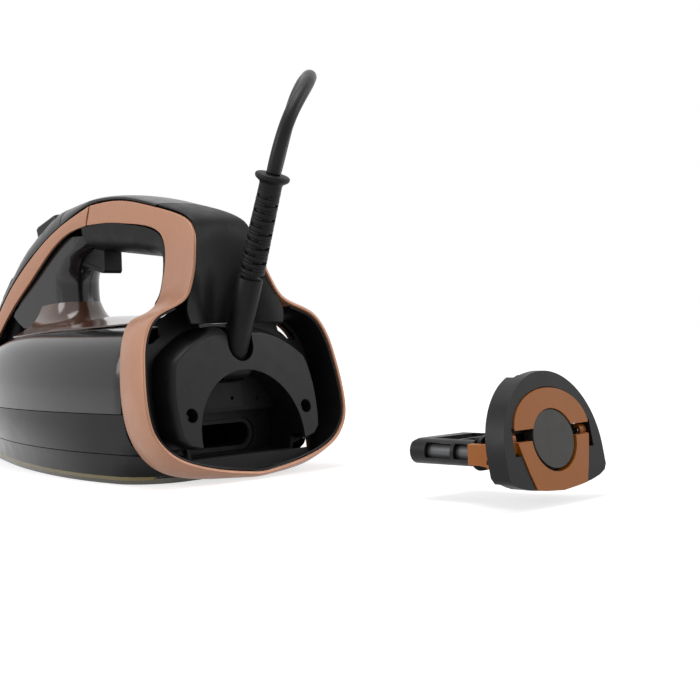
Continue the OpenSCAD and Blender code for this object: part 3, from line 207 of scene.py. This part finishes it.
looks = {
    # soleplate steel: its colour is darkened well below bright steel as painted shade, standing for
    # the sole's edge in shade under the body
    "sole_steel": {"colour": (84, 82, 78), "metal": 1.0, "rough": 0.28, "tone": 0.05,
                   "toneSize": 12, "stretch": (0.03, 1, 1), "grain": 0.02, "grainSize": 0.4,
                   "roughSize": 0.8},
    "cast_alloy": {"colour": (150, 151, 153), "metal": 1.0, "rough": 0.5, "grain": 0.12,
                   "grainSize": 1.4},
    "dark_metal": {"colour": (74, 73, 72), "metal": 1.0, "rough": 0.42, "grain": 0.03},
    "bright_steel": {"colour": (190, 190, 192), "metal": 1.0, "rough": 0.24, "roughSize": 3,
                     "tone": 0.05},
    "black_plastic": {"colour": (17, 17, 18), "rough": 0.46, "grain": 0.05, "grainSize": 0.5,
                      "specular": 0.16, "dust": 0.03},
    "lining_plastic": {"colour": (15, 15, 16), "rough": 0.42, "grain": 0.04, "grainSize": 0.5,
                       "specular": 0.16},
    "heel_plastic": {"colour": (24, 24, 25), "rough": 0.4, "grain": 0.05, "grainSize": 0.5,
                     "specular": 0.2, "dust": 0.03},
    "black_gloss": {"colour": (14, 14, 15), "rough": 0.24, "specular": 0.16, "grain": 0.01,
                    "grainSize": 6, "roughSpread": 0.03},
    "smoked_tank": {"colour": (30, 30, 32), "rough": 0.16, "specular": 0.4, "coat": 0.1,
                    "grain": 0.01, "grainSize": 9, "roughSpread": 0.03},
    "smoked_cover": {"colour": (24, 24, 25), "rough": 0.28, "specular": 0.25, "grain": 0.01,
                     "grainSize": 5, "roughSpread": 0.04},
    "brown_gloss": {"colour": (84, 58, 48), "rough": 0.18, "specular": 0.5, "coat": 0.5,
                    "grain": 0.01, "grainSize": 7, "roughSpread": 0.03},
    "copper_lacquer": {"colour": (178, 128, 100), "metal": 0.35, "rough": 0.42, "tone": 0.05,
                       "toneSize": 40, "flake": 0.22, "flakeSize": 0.3, "coat": 0.12,
                       "coatRough": 0.25, "grain": 0.012, "grainSize": 1.6},
    "olive_trim": {"colour": (112, 100, 68), "metal": 0.5, "rough": 0.36, "grain": 0.01},
    "grey_plastic": {"colour": (160, 160, 160), "rough": 0.5, "grain": 0.04},
    "white_plastic": {"colour": (214, 211, 202), "rough": 0.45, "grain": 0.04},
    "board_green": {"colour": (34, 88, 54), "rough": 0.35, "tone": 0.35, "toneSize": 3.0,
                    "coat": 0.3},
    "hose_silicone": {"colour": (205, 200, 190), "rough": 0.42, "grain": 0.02},
    "seal_rubber": {"colour": (34, 34, 34), "rough": 0.7, "grain": 0.03, "specular": 0.3},
    "relief_rubber": {"colour": (17, 17, 18), "rough": 0.48, "grain": 0.04, "grainSize": 0.4,
                      "specular": 0.18, "dust": 0.04},
    "cord_rubber": {"colour": (16, 16, 17), "rough": 0.4, "grain": 0.02, "grainSize": 0.8,
                    "specular": 0.22, "dust": 0.03},
    "plug_rubber": {"colour": (28, 28, 29), "rough": 0.5, "grain": 0.05, "specular": 0.35,
                    "dust": 0.04},
    "pin_metal": {"colour": (205, 202, 192), "metal": 1.0, "rough": 0.18, "roughSize": 2,
                  "tone": 0.04},
    "tie_fabric": {"colour": (36, 36, 38), "rough": 0.85, "grain": 0.3, "grainSize": 0.7,
                   "specular": 0.2, "sheen": 0.3, "tone": 0.3, "toneSize": 0.9},
    "orange_plastic": {"colour": (172, 98, 26), "rough": 0.4, "tone": 0.08, "toneSize": 14,
                       "grain": 0.03, "grainSize": 0.8, "specular": 0.4, "dust": 0.02},
    "collector_black": {"colour": (20, 20, 21), "rough": 0.42, "grain": 0.06, "grainSize": 0.5,
                        "specular": 0.22, "dust": 0.04},
    "badge_plastic": {"colour": (44, 42, 40), "rough": 0.5, "grain": 0.04, "specular": 0.4,
                      "dust": 0.04},
    "tray_grey": {"colour": (96, 97, 99), "rough": 0.42, "grain": 0.05, "grainSize": 0.7,
                  "dust": 0.05},
}
finishes = {name: surface(name, look) for name, look in looks.items()}

slotOf = {part["node"]: part["material_slot"] for part in frame["record"]["subparts"]}
bodyOf = {node: body for body, group in frame["record"]["behaviour"]["bodies"].items()
          for node in group}
for node, slot in slotOf.items():
    nodes[node].data.materials.clear()
    nodes[node].data.materials.append(finishes[slot])
print("materials made:", len(finishes))

# moulded and bent pieces keep the solid's own form, with rounded edges and smooth faces;
# edge is the rounding in millimetres, smooth the subdivision level of a curved skin
refined = {
    "rear_frame": {"edge": 0.45, "smooth": 2}, "front_trim_left": {"edge": 0.4, "smooth": 2},
    "front_trim_right": {"edge": 0.4, "smooth": 2}, "handle_top": {"edge": 0.4, "smooth": 2},
    "tank_saddle": {"edge": 0.25, "smooth": 2}, "rear_cover": {"edge": 0.4, "smooth": 2},
    "frame_lining": {"edge": 0.3, "smooth": 1}, "nose_cover": {"edge": 0.4},
    "front_post": {"edge": 0.4}, "grip_lower": {"edge": 0.4}, "soleplate": {"edge": 0.5},
    "skirt_trim": {"edge": 0.15}, "skirt": {"edge": 0.4}, "lower_housing": {"edge": 0.4},
    "rear_bulkhead": {"edge": 0.5}, "heel_panel": {"edge": 0.7}, "heel_screws": {"edge": 0.2},
    "bay_liner": {"edge": 0.5}, "collector_sleeve": {"edge": 0.3}, "relief_bracket": {"edge": 0.4},
    "relief_pin": {"edge": 0.2}, "trigger": {"edge": 0.8}, "steam_button": {"edge": 0.7},
    "spray_button": {"edge": 0.7}, "filler_door": {"edge": 0.6}, "filler_pin": {"edge": 0.2},
    "spray_nozzle": {"edge": 0.3}, "plug": {"edge": 0.9}, "plug_pins": {"edge": 0.3},
    "collector_plate": {"edge": 0.9}, "collector_inlay": {"edge": 0.5},
    "collector_badge": {"edge": 0.4}, "pull_lever": {"edge": 0.7}, "lever_pins": {"edge": 0.2},
    "collector_arms": {"edge": 0.6}, "collector_frame": {"edge": 0.5}, "scale_tray": {"edge": 0.6},
    "collector_seal": {"edge": 0.2},
}

# metres for the cleaning distances, degrees for the angles
refining = {"weld": 3e-6, "sliver": 2e-6, "flat": 0.8, "hard": 38, "segments": 2, "evenWeight": 60,
            "joinFace": 0.7, "joinShape": 3.1}

def refine(node, s, clean):
    work = bmesh.new()
    work.from_mesh(nodes[node].data)
    bmesh.ops.remove_doubles(work, verts=work.verts, dist=clean["weld"])
    bmesh.ops.dissolve_degenerate(work, edges=work.edges, dist=clean["sliver"])
    if s.get("smooth"):
        bmesh.ops.join_triangles(work, faces=work.faces, angle_face_threshold=clean["joinFace"],
                                 angle_shape_threshold=clean["joinShape"])
    else:
        bmesh.ops.dissolve_limit(work, angle_limit=math.radians(clean["flat"]),
                                 verts=work.verts, edges=work.edges)
    mesh = bpy.data.meshes.new(node + "_form")
    work.to_mesh(mesh)
    work.free()
    piece = bpy.data.objects.new(node + "_form", mesh)
    bpy.context.scene.collection.objects.link(piece)
    bevel = piece.modifiers.new("edges", "BEVEL")
    bevel.width, bevel.segments = s["edge"] / 1000, clean["segments"]
    bevel.limit_method, bevel.angle_limit = "ANGLE", math.radians(clean["hard"])
    mesh.polygons.foreach_set("use_smooth", [True] * len(mesh.polygons))
    if s.get("smooth"):
        soft = piece.modifiers.new("soft", "SUBSURF")
        soft.levels = soft.render_levels = s["smooth"]
    else:
        even = piece.modifiers.new("even", "WEIGHTED_NORMAL")
        even.weight, even.keep_sharp = clean["evenWeight"], True
    applyModifiers(piece)
    return dress(piece, bodyOf[node], slotOf[node], finishes[slotOf[node]], node)

forms = {node: refine(node, settings, refining) for node, settings in refined.items()}
print("moulded pieces made:", len(refined))

# water tank: one smooth shell on the solid's outline, its stations closer at both ends
tankForm = {"base": 38.4, "nose": -136.6, "rear": 110.0, "half": 65.5, "stations": 72, "around": 40,
            "crowding": 0.16, "noseHalf": 0.8, "square": 0.5, "sideAngles": (176, 172),
            "lipFrom": 0.985, "lipLength": 0.015, "lipDrop": 0.8, "sharp": 40,
            "widest": 105, "taper": 243, "taperPower": 2.3, "taperRound": 0.85,
            "roof": [(-137, 50), (-131, 56), (-121, 61.5), (-105, 69), (-80, 77.5), (-50, 83),
                     (-20, 85.4), (10, 86), (60, 86), (110, 86)]}

def bodyWidth(x, s):
    if x >= s["widest"]:
        return s["half"]
    share = ((s["widest"] - x) / s["taper"]) ** s["taperPower"]
    return s["half"] * max(0.0, 1 - share) ** s["taperRound"]

def makeTank(s):
    roofLine = spline([(x, 0, z) for x, z in s["roof"]], 12)

    def roof(x):
        for a, b in zip(roofLine, roofLine[1:]):
            if a.x <= x <= b.x:
                return mix(a.z, b.z, (x - a.x) / (b.x - a.x))
        return roofLine[-1].z

    points, faces = [], []
    n, m = s["stations"], s["around"]
    first, sweep = s["sideAngles"]
    for i in range(n):
        t = i / (n - 1)
        crowd = s["crowding"] * math.sin(2 * math.pi * t) / (2 * math.pi)
        x = mix(s["nose"], s["rear"], t - crowd)
        w, top = max(s["noseHalf"], bodyWidth(x, s)), roof(x)
        if t > s["lipFrom"]:
            drop = s["lipDrop"] * (t - s["lipFrom"]) / s["lipLength"]
            w, top = w - drop, top - drop
        points.append((x, -w, s["base"]))
        for k in range(m - 1):
            a = math.radians(first - sweep * k / (m - 2))
            c, v = math.cos(a), math.sin(a)
            points.append((x, w * math.copysign(abs(c) ** s["square"], c),
                           s["base"] + (top - s["base"]) * v ** s["square"]))
        points.append((x, w, s["base"]))
    m += 1
    for i in range(n - 1):
        for k in range(m):
            a, b = i * m + k, i * m + (k + 1) % m
            faces.append((a, b, b + m, a + m))
    faces.append(tuple(reversed(range(m))))
    faces.append(tuple((n - 1) * m + k for k in range(m)))
    tank = meshPiece("water_tank_shell", points, faces)
    outward(tank)
    tank.data.set_sharp_from_angle(angle=math.radians(s["sharp"]))
    slot = slotOf["water_tank"]
    return dress(tank, "iron", slot, finishes[slot], "water_tank")

def outward(piece):
    # every face turned to look out of its shell
    work = bmesh.new()
    work.from_mesh(piece.data)
    bmesh.ops.remove_doubles(work, verts=work.verts, dist=1e-6)
    bmesh.ops.recalc_face_normals(work, faces=work.faces)
    work.to_mesh(piece.data)
    work.free()

makeTank(tankForm)
print("tank made")

def makeTree(name, inputs):
    # a Geometry Nodes tree with named inputs; returns it with each input's identifier
    tree = bpy.data.node_groups.new(name, "GeometryNodeTree")
    tree.interface.new_socket("Geometry", in_out="OUTPUT", socket_type="NodeSocketGeometry")
    ids = {}
    for label, kind in inputs:
        socket = tree.interface.new_socket(label, in_out="INPUT", socket_type="NodeSocket" + kind)
        ids[label] = socket.identifier
    given = tree.nodes.new("NodeGroupInput")
    taken = tree.nodes.new("NodeGroupOutput")
    return tree, ids, given, taken

def treePiece(name, tree, ids, values):
    # the object carries the tree until its result is a plain mesh
    piece = bpy.data.objects.new(name, bpy.data.meshes.new(name))
    bpy.context.scene.collection.objects.link(piece)
    grown = piece.modifiers.new("grown", "NODES")
    grown.node_group = tree
    for label, value in values.items():
        grown[ids[label]] = value
    return applyModifiers(piece)

# metres
ribDetail = {"arcSteps": 28, "filletSteps": 3, "fillet": 0.00042}

def ribTree(s):
    # a row of rounded rings, each turned by its place in the row and narrowed along it
    numbers = ("Step", "First Height", "Radius", "Depth", "Thickness", "Sweep", "Turn", "Narrowing")
    tree, ids, given, taken = makeTree("rib_row", [
        ("Count", "Int"), *((label, "Float") for label in numbers), ("Material", "Material")])
    new, link = tree.nodes.new, tree.links.new

    def feed(node, values):
        for socket, value in zip(node.inputs, values):
            if isinstance(value, (int, float)):
                socket.default_value = value
            else:
                link(value, socket)
        return node.outputs[0]

    def calculate(operation, a, b):
        node = new("ShaderNodeMath")
        node.operation = operation
        return feed(node, (a, b))

    def vector(*values):
        return feed(new("ShaderNodeCombineXYZ"), values)

    line = new("GeometryNodeMeshLine")
    link(given.outputs["Count"], line.inputs["Count"])
    link(vector(0, 0, given.outputs["First Height"]), line.inputs["Start Location"])
    link(vector(0, 0, given.outputs["Step"]), line.inputs["Offset"])
    arc = new("GeometryNodeCurveArc")
    arc.inputs["Resolution"].default_value = s["arcSteps"]
    link(given.outputs["Radius"], arc.inputs["Radius"])
    link(given.outputs["Sweep"], arc.inputs["Sweep Angle"])
    link(calculate("MULTIPLY", given.outputs["Sweep"], -0.5), arc.inputs["Start Angle"])
    profile = new("GeometryNodeCurvePrimitiveQuadrilateral")
    link(given.outputs["Depth"], profile.inputs["Width"])
    link(given.outputs["Thickness"], profile.inputs["Height"])
    rounded = new("GeometryNodeFilletCurve")
    rounded.mode = "POLY"
    rounded.inputs["Count"].default_value = s["filletSteps"]
    rounded.inputs["Radius"].default_value = s["fillet"]
    link(profile.outputs[0], rounded.inputs["Curve"])
    ring = new("GeometryNodeCurveToMesh")
    ring.inputs["Fill Caps"].default_value = True
    link(arc.outputs["Curve"], ring.inputs["Curve"])
    link(rounded.outputs[0], ring.inputs["Profile Curve"])
    place = new("GeometryNodeInstanceOnPoints")
    index = new("GeometryNodeInputIndex").outputs[0]
    link(line.outputs[0], place.inputs["Points"])
    link(ring.outputs[0], place.inputs["Instance"])
    turned = vector(0, 0, calculate("MULTIPLY", index, given.outputs["Turn"]))
    link(turned, place.inputs["Rotation"])
    share = calculate("SUBTRACT", 1.0, calculate("MULTIPLY", index, given.outputs["Narrowing"]))
    link(vector(share, share, 1.0), place.inputs["Scale"])
    whole = new("GeometryNodeRealizeInstances")
    link(place.outputs[0], whole.inputs[0])
    finish = new("GeometryNodeSetMaterial")
    link(whole.outputs[0], finish.inputs[0])
    link(given.outputs["Material"], finish.inputs["Material"])
    link(finish.outputs[0], taken.inputs[0])
    return tree, ids

# strain relief of the cord: a smooth sleeve below, rings and bridges with gaps between them above
reliefForm = {"pivot": (124.96, 0.0, 61.0), "tilt": 21.22, "length": 110.5, "sides": 48,
              "core": 4.9, "low": 7.2, "high": 6.3, "first": 54.2, "step": 4.0, "rows": 12,
              "ring": 2.4, "ringLift": 2.0, "bridge": 1.7, "bridgeSweep": 84, "overlap": 0.6,
              "drumHalf": 8.8, "drumChamfer": 0.6, "bodySharp": 50, "drumSharp": 40}

def lathe(name, outline, sides):
    # closed outline of (radius, height) pairs turned about the upright axis
    points, faces, n = [], [], len(outline)
    for k in range(sides):
        a = 2 * math.pi * k / sides
        points += [(r * math.cos(a), r * math.sin(a), z) for r, z in outline]
    for k in range(sides):
        for j in range(n - 1):
            a, b = k * n + j, (k + 1) % sides * n + j
            faces.append((a, b, b + 1, a + 1))
    return meshPiece(name, points, faces)

def makeRelief(s):
    tilt = Matrix.Rotation(math.radians(s["tilt"]), 4, "Y")
    place = Matrix.Translation(Vector(s["pivot"]) / 1000) @ tilt
    top, material = s["length"], finishes["relief_rubber"]
    # sleeve, core between the rings, then the collar at the mouth
    outline = [(0, 0), (6.7, 0), (7.2, 0.5), (7.2, 51.4), (6.9, 52.0), (s["core"], 52.2),
               (s["core"], 100.6), (5.9, 100.8), (6.3, 101.3), (6.3, top - 5.6), (6.7, top - 4.6),
               (8.9, top - 3.1), (9.5, top - 2.2), (9.6, top - 1.4), (9.4, top - 0.6),
               (8.7, top - 0.1), (8, top), (0, top)]
    body = lathe("relief_body", outline, s["sides"])
    outward(body)
    body.data.set_sharp_from_angle(angle=math.radians(s["bodySharp"]))
    end, corner = s["drumHalf"], s["drumChamfer"]
    drum = lathe("relief_drum", [(0, -end), (s["low"] - corner, -end), (s["low"], corner - end),
                                 (s["low"], end - corner), (s["low"] - corner, end), (0, end)],
                 s["sides"])
    drum.data.transform(Matrix.Rotation(math.radians(90), 4, "X"))
    outward(drum)
    drum.data.set_sharp_from_angle(angle=math.radians(s["drumSharp"]))
    tree, ids = ribTree(ribDetail)
    depth = s["low"] - s["core"] + s["overlap"]
    shared = {"Step": s["step"] / 1000, "Depth": depth / 1000, "Material": material,
              "Radius": (s["low"] - depth / 2) / 1000,
              "Narrowing": (1 - s["high"] / s["low"]) / s["rows"]}
    rings = treePiece("relief_rings", tree, ids, dict(shared, **{
        "Count": s["rows"], "First Height": (s["first"] + s["ringLift"]) / 1000,
        "Thickness": s["ring"] / 1000,
        "Sweep": 2 * math.pi * 0.9999, "Turn": 0.0}))
    made = [body, drum, rings]
    for side in (0, 1):
        bridges = treePiece("relief_bridges_" + "ab"[side], tree, ids, dict(shared, **{
            "Count": s["rows"], "First Height": s["first"] / 1000, "Thickness": s["bridge"] / 1000,
            "Sweep": math.radians(s["bridgeSweep"]), "Turn": math.pi / 2}))
        bridges.data.transform(Matrix.Rotation(math.pi * side + math.pi / 2, 4, "Z"))
        made.append(bridges)
    for piece in made:
        piece.data.transform(place)
        piece.data.polygons.foreach_set("use_smooth", [True] * len(piece.data.polygons))
        dress(piece, "cord_relief", "relief_rubber", material)
    for piece in made[2:]:
        outward(piece)
        piece.data.set_sharp_from_angle(angle=math.radians(s["bodySharp"]))
    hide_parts("strain_relief")

makeRelief(reliefForm)
print("strain relief made")

# the mains cord is one tube from the relief, over and down to the coil behind;
# it repeats the route that the solids follow
cordSizes = {"diameter": 7.8, "sides": 16, "routeSteps": 6, "turnSteps": 24,
             "coilCentre": (-40.0, 132.0), "coilRadius": 48.25, "coilBase": 5.3, "layer": 8.4,
             "pitch": 8.3, "turns": 1.625, "endLift": 0.9, "endTurn": 0.25}
cordRoute = [(170.4, 0.6, 178.6), (172.2, 2.8, 187), (172.6, 7.2, 195.8), (171.2, 14, 204.2),
             (167.4, 22.8, 211.8), (160.6, 33, 218.6), (150.8, 43.6, 223.4), (138.6, 53.2, 225.6),
             (125.6, 61.4, 224.4), (113.4, 67.6, 219.2), (103, 71.8, 209.8), (94.6, 74.2, 197.4),
             (87.2, 75.2, 183), (79.8, 75.2, 167), (72, 75.4, 149), (64, 76.4, 130),
             (55.4, 78.4, 111.4), (46, 81, 93.6), (36, 83.8, 77), (25, 86, 61.8), (13, 86.8, 49),
             (0, 86, 39), (-13, 84.5, 32.8)]

def coilPoints(s):
    # four layers, in and out again, half a turn for each change of layer
    perTurn = s["turnSteps"]
    half, total = s["turns"] + 0.5, 4 * s["turns"] + 1.5
    top = s["coilBase"] + 3 * s["layer"]
    made = []
    for i in range(round(total * perTurn) + 1):
        t = i / perTurn
        k = math.floor(t / half + 1e-9)
        u = max(0.0, t - k * half)
        past = u > s["turns"]
        dip = s["pitch"] / 2 * (0.25 - (u - s["turns"] - 0.25) ** 2 * 4) if past else 0.0
        run = s["pitch"] * min(u, s["turns"])
        deep = s["coilRadius"] - s["pitch"] * s["turns"]
        radius = s["coilRadius"] - run - dip if k % 2 == 0 else deep + run + dip
        height = top - s["layer"] * (k + ((u - s["turns"]) / 0.5 if past else 0.0))
        height += ease((t - total + s["endTurn"]) / s["endTurn"]) * s["endLift"]
        a = math.radians(-90 - 360 * t)
        made.append(Vector((s["coilCentre"][0] + radius * math.cos(a),
                            s["coilCentre"][1] + radius * math.sin(a), height)))
    return made

def cordPath(s, relief):
    tilt = math.radians(relief["tilt"])
    axis = Vector((math.sin(tilt), 0, math.cos(tilt)))
    start = Vector(relief["pivot"]) + axis * relief["length"]
    coilStart = Vector((s["coilCentre"][0] + s["diameter"], s["coilCentre"][1] - s["coilRadius"],
                        s["coilBase"] + 3 * s["layer"]))
    lead = [start, start + axis * s["diameter"]] + [Vector(p) for p in cordRoute]
    lead += [coilStart + Vector((s["diameter"], 0, 0)), coilStart]
    coil = coilPoints(s)
    end = coil[-1] - Vector((s["diameter"], 0, 0))
    return spline(lead, s["routeSteps"])[:-1] + [coilStart] + coil + [end]

def tubeAlong(name, path, radius, sides):
    # parallel frames carried along the path, so the sheath doesn't twist
    path = [Vector(p) for p in path]
    points, faces, side = [], [], None
    for i, p in enumerate(path):
        ahead = (path[min(i + 1, len(path) - 1)] - path[max(i - 1, 0)]).normalized()
        if side is None:
            side = ahead.cross(Vector((0.62, 0.78, 0))).normalized()
        side = (side - ahead * side.dot(ahead)).normalized()
        other = ahead.cross(side)
        for k in range(sides):
            a = 2 * math.pi * k / sides
            points.append(p + radius * (math.cos(a) * side + math.sin(a) * other))
    for i in range(len(path) - 1):
        for k in range(sides):
            a, b = i * sides + k, i * sides + (k + 1) % sides
            faces.append((a, b, b + sides, a + sides))
    faces.append(tuple(reversed(range(sides))))
    faces.append(tuple((len(path) - 1) * sides + k for k in range(sides)))
    return meshPiece(name, points, faces)

mainsPath = cordPath(cordSizes, reliefForm)
mainsCord = tubeAlong("mains_cord", mainsPath, cordSizes["diameter"] / 2, cordSizes["sides"])
mainsCord.data.materials.append(finishes["cord_rubber"])
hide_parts("cord_lead", "cord_coil")
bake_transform(mainsCord)
print("cord made:", round(pathLength(mainsPath)), "mm")

tieStrap = {"width": 12.0, "thick": 1.1, "x": -46.0, "floorGap": 0.1, "around": 64, "square": 0.35,
            "spareWidth": 3.4, "spareHeight": 4}

def makeTie(s, c):
    n = s["around"]
    middle = c["coilRadius"] - c["pitch"] * c["turns"] / 2
    w = c["pitch"] * (c["turns"] + 0.5) + c["diameter"] + s["spareWidth"]
    h = 3 * c["layer"] + c["diameter"] + s["spareHeight"]
    y, z = c["coilCentre"][1] + middle, s["floorGap"] + h / 2
    ring = []
    for k in range(n):
        a = 2 * math.pi * k / n
        x, v = math.cos(a), math.sin(a)
        ring.append((math.copysign(abs(x) ** s["square"], x) * w / 2,
                     math.copysign(abs(v) ** s["square"], v) * h / 2))
    points, faces = [], []
    # outer and inner edge of each side, as shares of the width and of the thickness
    for across, depth in ((0.0, 0.0), (0.0, 1.0), (1.0, 1.0), (1.0, 0.0)):
        for py, pz in ring:
            k = 1 - s["thick"] * depth / math.hypot(py, pz)
            points.append((s["x"] + across * s["width"], y + py * k, z + pz * k))
    for j in range(4):
        for k in range(n):
            on = (k + 1) % n
            this, after = j * n, (j + 1) % 4 * n
            faces.append((this + k, this + on, after + on, after + k))
    tie = meshPiece("coil_tie", points, faces)
    outward(tie)
    return dress(tie, "iron", "tie_fabric", finishes["tie_fabric"], "cord_tie")

makeTie(tieStrap, cordSizes)

# metres; the glow is what the camera sees of the floor, near the object and further out
studio = {"floor": 6.0, "floorDrop": 0.0004, "floorRough": 0.9, "floorTones": (0.5, 0.54),
          "grainScale": 14.0, "ambient": 0.3, "nearGlow": 0.72, "farGlow": 0.95,
          "nearReach": 0.35, "farReach": 0.9}

def makeFloor(s):
    r, z = s["floor"], -s["floorDrop"]
    floor = meshPiece("floor", [(-r, -r, z), (r, -r, z), (r, r, z), (-r, r, z)],
                      [(0, 1, 2, 3)], smooth=False, scale=1.0)
    material = bpy.data.materials.new("pale_floor")
    material.use_nodes = True
    tree = material.node_tree
    shader = tree.nodes["Principled BSDF"]
    shader.inputs["Roughness"].default_value = s["floorRough"]
    shader.inputs["Specular IOR Level"].default_value = 0.0
    grain = tree.nodes.new("ShaderNodeTexNoise")
    grain.inputs["Scale"].default_value = s["grainScale"]
    coords = tree.nodes.new("ShaderNodeTexCoord")
    tree.links.new(coords.outputs["Object"], grain.inputs["Vector"])
    tones = tree.nodes.new("ShaderNodeMix")
    tones.data_type = "RGBA"
    for socket, tone in zip((6, 7), s["floorTones"]):
        tones.inputs[socket].default_value = (tone, tone, tone, 1)
    tree.links.new(grain.outputs["Fac"], tones.inputs[0])
    tree.links.new(tones.outputs[2], shader.inputs["Base Color"])
    shader.inputs["Emission Color"].default_value = (1, 1, 1, 1)
    reach = tree.nodes.new("ShaderNodeVectorMath")
    reach.operation = "LENGTH"
    tree.links.new(coords.outputs["Object"], reach.inputs[0])
    fade = tree.nodes.new("ShaderNodeMapRange")
    ends = (s["nearReach"], s["farReach"], s["nearGlow"], s["farGlow"])
    for socket, value in zip((1, 2, 3, 4), ends):
        fade.inputs[socket].default_value = value
    tree.links.new(reach.outputs["Value"], fade.inputs[0])
    glow = tree.nodes.new("ShaderNodeMath")
    glow.operation = "MULTIPLY"
    tree.links.new(seenRay(tree, 1.0, 0.0), glow.inputs[0])
    tree.links.new(fade.outputs[0], glow.inputs[1])
    tree.links.new(glow.outputs[0], shader.inputs["Emission Strength"])
    floor.data.materials.append(material)

def seenRay(tree, seen, unseen):
    # one value for what camera, mirror and glass see, another for the light it gives
    path = tree.nodes.new("ShaderNodeLightPath")
    total = path.outputs["Is Camera Ray"]
    for name in ("Is Glossy Ray", "Is Transmission Ray"):
        both = tree.nodes.new("ShaderNodeMath")
        both.operation = "MAXIMUM"
        tree.links.new(total, both.inputs[0])
        tree.links.new(path.outputs[name], both.inputs[1])
        total = both.outputs[0]
    pick = tree.nodes.new("ShaderNodeMapRange")
    pick.inputs[3].default_value, pick.inputs[4].default_value = unseen, seen
    tree.links.new(total, pick.inputs[0])
    return pick.outputs[0]

def makeWorld(s):
    world = bpy.data.worlds.new("studio")
    bpy.context.scene.world = world
    world.use_nodes = True
    tree = world.node_tree
    backdrop = tree.nodes["Background"]
    backdrop.inputs["Color"].default_value = (1, 1, 1, 1)
    tree.links.new(seenRay(tree, 1.0, s["ambient"]), backdrop.inputs["Strength"])

lamps = {
    "top": {"at": (0.10, -0.10, 1.30), "aim": (0.05, 0, 0.08), "size": (0.9, 0.7), "power": 9.0},
    "left": {"at": (-0.55, -1.35, 0.75), "aim": (0.05, 0, 0.08), "size": (0.8, 0.9), "power": 9.0},
    "rim": {"at": (0.9, 1.0, 0.7), "aim": (0.2, 0, 0.08), "size": (0.6, 0.6), "power": 4.0},
}

def makeLamp(name, s):
    light = bpy.data.lights.new(name, "AREA")
    light.shape = "RECTANGLE"
    light.size, light.size_y = s["size"]
    light.energy = s["power"]
    lamp = bpy.data.objects.new(name, light)
    bpy.context.scene.collection.objects.link(lamp)
    lamp.location = s["at"]
    lamp.rotation_euler = (Vector(s["aim"]) - Vector(s["at"])).to_track_quat("-Z", "Y").to_euler()

makeFloor(studio)
makeWorld(studio)
for lampName, lampSettings in lamps.items():
    makeLamp(lampName, lampSettings)
bpy.context.scene.view_settings.view_transform = "Standard"
print("studio made")
